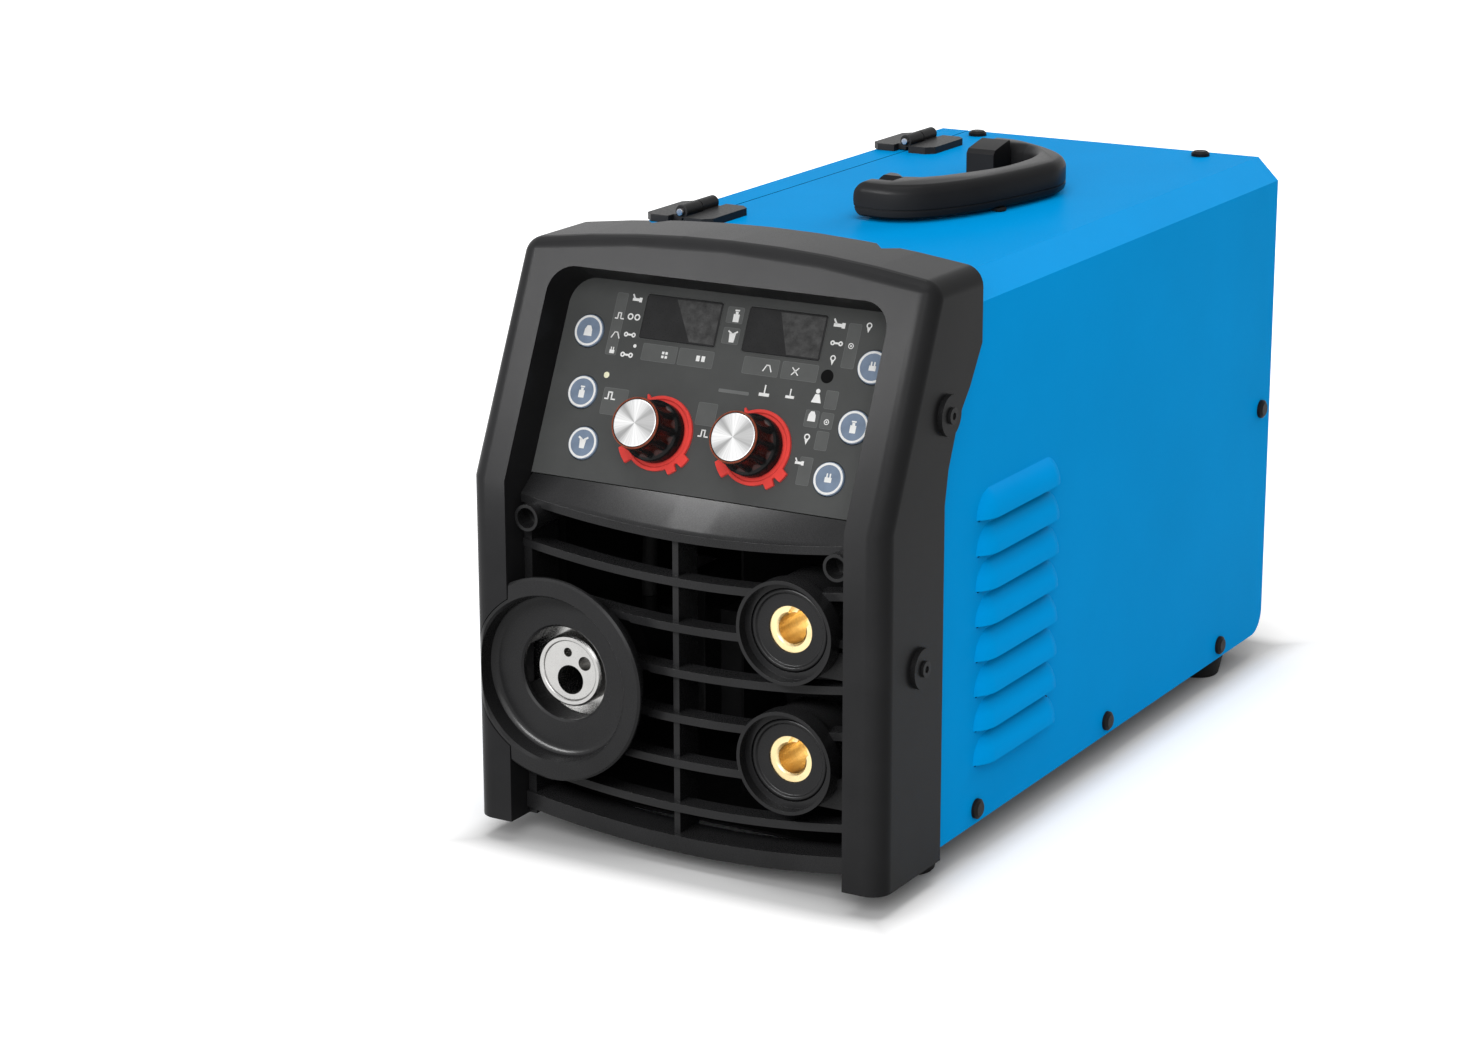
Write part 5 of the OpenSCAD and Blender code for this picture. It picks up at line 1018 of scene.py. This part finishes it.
def node_corners(piece):
    """Corners of a node's box, in metres."""
    points = [v.co for v in piece.data.vertices]
    return (Vector([min(p[i] for p in points) for i in range(3)]),
            Vector([max(p[i] for p in points) for i in range(3)]))


class WELDER_OT_feeder(bpy.types.Operator):
    """Wire feeder: plate, motor, rolls, pressure arm and tensioner"""

    bl_idname = "welder.feeder"
    bl_label = "Wire feeder"

    def execute(self, context):
        dress("feed_plate", "satin black moulding", 0.4)
        dress("feed_motor", "black anodised", 0.6)
        dress("drive_roll", "turned steel", 0.3)
        dress("pressure_arm", "satin black moulding", 0.5)
        dress("pressure_roll", "turned steel", 0.3)
        dress("tension_rod", "turned steel", 0.2)
        low, high = node_corners(NODES["tension_spring"])
        lean = math.radians(ROD_LEAN)
        along = Vector((0, math.sin(lean), math.cos(lean)))
        across = along.orthogonal().normalized()
        third = along.cross(across)
        coil = []
        for k in range(COIL_TURNS * COIL_STEPS + 1):
            t = k / COIL_STEPS
            rise = (t / COIL_TURNS - 0.5) * (COIL_L - 1.3)
            if t < 1 or t > COIL_TURNS - 1:
                rise = math.copysign(COIL_L / 2 - 0.75 - 0.6 * min(t, COIL_TURNS - t), rise)
            a = 2 * math.pi * t
            out = (across * math.cos(a) + third * math.sin(a)) * COIL_R
            coil.append((low + high) / 2 / MM + along * rise + out)
        form = Form()
        form.tube(coil, COIL_WIRE_R, 10)
        spring = form.build("tension_spring_coil", ["spring steel"], None, 60)
        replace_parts(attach(spring, "tension_rod"), "tension_spring")
        dress("tension_knob", "red moulding", 0.4)
        return {"FINISHED"}


WINDING_W, WINDING_R, WINDING_CORE_R = 48.0, 88.2, 50.1
SPOOL_PLACE = (-50.5, 299, 130)


class WELDER_OT_spool(bpy.types.Operator):
    """Wire spool, its winding, hub and spindle"""

    bl_idname = "welder.spool"
    bl_label = "Wire spool"

    def execute(self, context):
        wire = settings()[1].wire
        dress("spool_spindle", "satin black moulding", 0.5)
        dress("spool_hub", "satin black moulding", 0.5)
        dress("wire_spool", "satin black moulding", 0.5)
        # winding of side-by-side turns, the outer layer shown turn by turn
        form = Form()
        width, outer, inner = WINDING_W, WINDING_R, WINDING_CORE_R
        turns = int(width / wire)
        pitch = width / turns
        profile = [(inner, -width / 2), (outer - wire, -width / 2)]
        for k in range(turns):
            z0 = -width / 2 + k * pitch
            for i in range(5):
                t = math.pi * i / 5
                profile.append((outer - wire / 2 + wire / 2 * math.sin(t) - 0.02,
                                z0 + pitch / 2 - pitch / 2 * math.cos(t)))
        profile += [(outer - wire, width / 2), (inner, width / 2)]
        form.turned(profile, 96, 0, closed=True)
        turn = Matrix.Translation(at(*SPOOL_PLACE)) @ Matrix.Rotation(math.pi / 2, 4, "Y")
        winding = form.build("wire_winding", ["copper-coated wire"], turn, 60)
        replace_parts(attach(winding, "wire_spool"), "wound_wire")
        return {"FINISHED"}


class WELDER_OT_rear(bpy.types.Operator):
    """Fan, guard, gas inlet, cable gland and power switch"""

    bl_idname = "welder.rear"
    bl_label = "Rear fittings"

    def execute(self, context):
        dress("fan_frame", "satin black moulding", 0.5)
        dress("fan_rotor", "satin black moulding", 0.3)
        dress("fan_guard", "turned steel", 0.4)
        dress("gas_nipple", "turned brass", 0.3)
        dress("mains_gland", "satin black moulding", 0.4)
        dress("switch_housing", "satin black moulding", 0.4)
        dress("switch_rocker", "red moulding", 0.5)
        return {"FINISHED"}


class WELDER_OT_inside(bpy.types.Operator):
    """Power stage and gas line inside the case"""

    bl_idname = "welder.inside"
    bl_label = "Inside"

    def execute(self, context):
        dress("inverter_board", "solder mask", 0.2)
        dress("heat_sink", "black anodised", 0.2)
        dress("transformer", "laminated core", 0.4)
        dress("output_choke", "varnished winding", 0.6)
        dress("capacitors", "blue sleeve", 0.6)
        dress("output_links", "copper bar", 0.3)
        dress("gas_valve", "grey casting", 0.4)
        dress("gas_hose", "black rubber", 0.0, angle=60)
        return {"FINISHED"}


def seen_directly(tree):
    """Node value that is 1 where the background is seen: straight, in a reflection or through glass."""
    paths = tree.nodes.new("ShaderNodeLightPath")
    total = None
    for ray in ("Is Camera Ray", "Is Glossy Ray", "Is Transmission Ray"):
        if total is None:
            total = paths.outputs[ray]
            continue
        more = tree.nodes.new("ShaderNodeMath")
        more.operation = "MAXIMUM"
        tree.links.new(total, more.inputs[0])
        tree.links.new(paths.outputs[ray], more.inputs[1])
        total = more.outputs[0]
    return total


BLUE_SHEETS = ["cover", "side_door"]
BLACK_MOULDINGS = ["front_frame", "front_grille", "torch_flange", "socket_housings", "hinge_leaves",
                   "door_leaves", "handle_brackets", "grip_bar"]
LAMPS = [  # name, direction from the case, distance, width, height, power setting, what it's flagged to
    ("overhead_lamp", (0.02, -0.12, 0.99), 2.0, 1.4, 1.4, "overhead", None),
    ("front_lamp", (0.35, -0.85, 0.42), 2.0, 1.2, 1.2, "front", None),
    ("side_lamp", (0.75, -0.2, 0.68), 2.2, 1.1, 1.1, "side", BLUE_SHEETS),
    ("edge_lamp", (0.27, 0.83, 0.49), 2.4, 0.9, 0.9, "edge", BLUE_SHEETS),
    ("bezel_lamp", (-0.27, -0.8, 0.48), 2.0, 1.7, 0.35, "bezel", BLACK_MOULDINGS),
    ("ridge_lamp", (-0.487, 0.829, 0.3), 2.2, 0.8, 0.5, "ridge", BLACK_MOULDINGS),
]
CAMERA_PLACE = (753.56, -1222.64, 568.37)
CAMERA_TURNS = (30.42, 15.95, -0.15)  # azimuth, elevation and roll in degrees
FLOOR_W, FLOOR_CORNER, FLOOR_T, FLOOR_GAP = 9000, 300, 4.0, 0.02
FOOTPRINT = (0.1, 0.22, 1.0)  # FOOTPRINT = (0.1, 0.22, 1.0) # half the case's width and length on the floor, in metres, the edge of the painted shadow
# metres from the case, part of the floor glow that is given off there; the low glow near the case is a painted
# shadow
GLOW_WITH_PAINTED_SHADOW = [(0.0, 0.0), (0.005, 0.35), (0.014, 0.95), (0.05, 1.4), (0.15, 1.6), (0.4, 1.7), (1.0, 2.5)]


class WELDER_OT_studio(bpy.types.Operator):
    """Pale floor, white surroundings, soft lamps and the camera"""

    bl_idname = "welder.studio"
    bl_label = "Studio"

    def execute(self, context):
        studio = settings()[2]
        scene = context.scene
        scene.view_settings.view_transform = "Standard"
        world = bpy.data.worlds.new("studio")
        scene.world = world
        world.use_nodes = True
        tree = world.node_tree
        tree.nodes.clear()
        out = tree.nodes.new("ShaderNodeOutputWorld")
        soft = tree.nodes.new("ShaderNodeBackground")
        soft.inputs["Strength"].default_value = studio.surroundings
        white = tree.nodes.new("ShaderNodeBackground")
        white.inputs["Strength"].default_value = 1.0
        for background in (soft, white):
            background.inputs["Color"].default_value = (1.0, 1.0, 1.0, 1)
        mix = tree.nodes.new("ShaderNodeMixShader")
        tree.links.new(seen_directly(tree), mix.inputs["Fac"])
        tree.links.new(soft.outputs[0], mix.inputs[1])
        tree.links.new(white.outputs[0], mix.inputs[2])
        tree.links.new(mix.outputs[0], out.inputs["Surface"])

        floor = Form()
        floor.slab(rounded(FLOOR_W, FLOOR_W, FLOOR_CORNER, 0, 0, 6), -FLOOR_T, -FLOOR_GAP)
        s = FINISH["studio floor"] = Shader("studio floor")
        s.surface.inputs["Base Color"].default_value = (0.86, 0.86, 0.86, 1)
        s.surface.inputs["Roughness"].default_value = 0.9
        s.surface.inputs["Specular IOR Level"].default_value = 0.0
        # painted shadow: nothing is given off under the case and a little beside it, and more where the lamps
        # fade
        glow = s.add("ShaderNodeEmission")
        beyond = s.add("ShaderNodeVectorMath", operation="ABSOLUTE")
        s.link(s.place, "Object", beyond, 0)
        outside = s.add("ShaderNodeVectorMath", operation="SUBTRACT")
        outside.inputs[1].default_value = FOOTPRINT
        s.link(beyond, "Vector", outside, 0)
        sides = s.add("ShaderNodeSeparateXYZ")
        s.link(outside, "Vector", sides, "Vector")
        distance = s.add("ShaderNodeMath", operation="MAXIMUM")
        s.link(sides, "X", distance, 0)
        s.link(sides, "Y", distance, 1)
        part = s.ranged(distance, "Value", 0.0, 1.0, 0.0, 1.0)
        level = s.ramp(part, "Result", [(d, (studio.floor_glow * k,) * 3) for d, k in GLOW_WITH_PAINTED_SHADOW])
        amount = s.add("ShaderNodeMath", operation="MULTIPLY")
        s.tree.links.new(seen_directly(s.tree), amount.inputs[0])
        s.link(level, "Color", amount, 1)
        s.link(amount, "Value", glow, "Strength")
        both = s.add("ShaderNodeAddShader")
        s.link(s.surface, "BSDF", both, 0)
        s.link(glow, "Emission", both, 1)
        s.link(both, "Shader", s.out, "Surface")
        floor.build("studio_floor", ["studio floor"])

        middle = Vector((0, 0, 0.13))
        for name, direction, distance, width, height, power, flagged in LAMPS:
            data = bpy.data.lights.new(name, "AREA")
            data.shape = "RECTANGLE"
            data.size, data.size_y = width, height
            data.energy = getattr(studio, power)
            lamp = bpy.data.objects.new(name, data)
            scene.collection.objects.link(lamp)
            away = Vector(direction).normalized()
            lamp.location = middle + away * distance
            lamp.rotation_mode = "QUATERNION"
            lamp.rotation_quaternion = (-away).to_track_quat("-Z", "Y")
            if flagged:
                lit = bpy.data.collections.new("lit by the " + name.replace("_", " "))
                for piece in flagged:
                    lit.objects.link(NODES.get(piece) or bpy.data.objects[piece])
                lamp.light_linking.receiver_collection = lit

        data = bpy.data.cameras.new("camera")
        data.lens = studio.lens
        data.sensor_width = 36.0
        data.clip_start, data.clip_end = 0.05, 60.0
        camera = bpy.data.objects.new("camera", data)
        scene.collection.objects.link(camera)
        az, el, roll = (math.radians(a) for a in CAMERA_TURNS)
        back = Vector((math.sin(az) * math.cos(el), -math.cos(az) * math.cos(el), math.sin(el)))
        camera.location = at(*CAMERA_PLACE)
        camera.rotation_mode = "QUATERNION"
        camera.rotation_quaternion = (-back).to_track_quat("-Z", "Y") @ Quaternion((0, 0, 1), roll)
        scene.camera = camera
        return {"FINISHED"}


class WELDER_PT_panel(bpy.types.Panel):
    """Lists the machine's pieces in the sidebar"""

    bl_label = "MIG welding machine"
    bl_space_type = "VIEW_3D"
    bl_region_type = "UI"
    bl_category = "Welder"

    def draw(self, context):
        layout = self.layout
        for step in STEPS:
            layout.operator(step)
        for group in (context.scene.welder_colours, context.scene.welder_sizes, context.scene.welder_studio):
            box = layout.box()
            for key in group.bl_rna.properties.keys():
                if key not in ("rna_type", "name"):
                    box.prop(group, key)


STEPS = ["welder.finishes", "welder.case", "welder.front", "welder.panel", "welder.knobs", "welder.buttons",
         "welder.handle", "welder.hinges", "welder.fasteners", "welder.feeder", "welder.spool", "welder.rear",
         "welder.inside", "welder.studio"]
CLASSES = [WelderColours, WelderSizes, WelderStudio, WELDER_OT_finishes, WELDER_OT_case, WELDER_OT_front,
           WELDER_OT_panel, WELDER_OT_knobs, WELDER_OT_buttons, WELDER_OT_handle, WELDER_OT_hinges,
           WELDER_OT_fasteners, WELDER_OT_feeder, WELDER_OT_spool, WELDER_OT_rear, WELDER_OT_inside,
           WELDER_OT_studio, WELDER_PT_panel]


def register():
    for one in CLASSES:
        bpy.utils.register_class(one)
    bpy.types.Scene.welder_colours = PointerProperty(type=WelderColours)
    bpy.types.Scene.welder_sizes = PointerProperty(type=WelderSizes)
    bpy.types.Scene.welder_studio = PointerProperty(type=WelderStudio)


def unregister():
    del bpy.types.Scene.welder_studio
    del bpy.types.Scene.welder_sizes
    del bpy.types.Scene.welder_colours
    for one in reversed(CLASSES):
        bpy.utils.unregister_class(one)


def main():
    register()
    for step in STEPS:
        group, name = step.split(".")
        getattr(getattr(bpy.ops, group), name)()


if __name__ == "__main__":
    main()
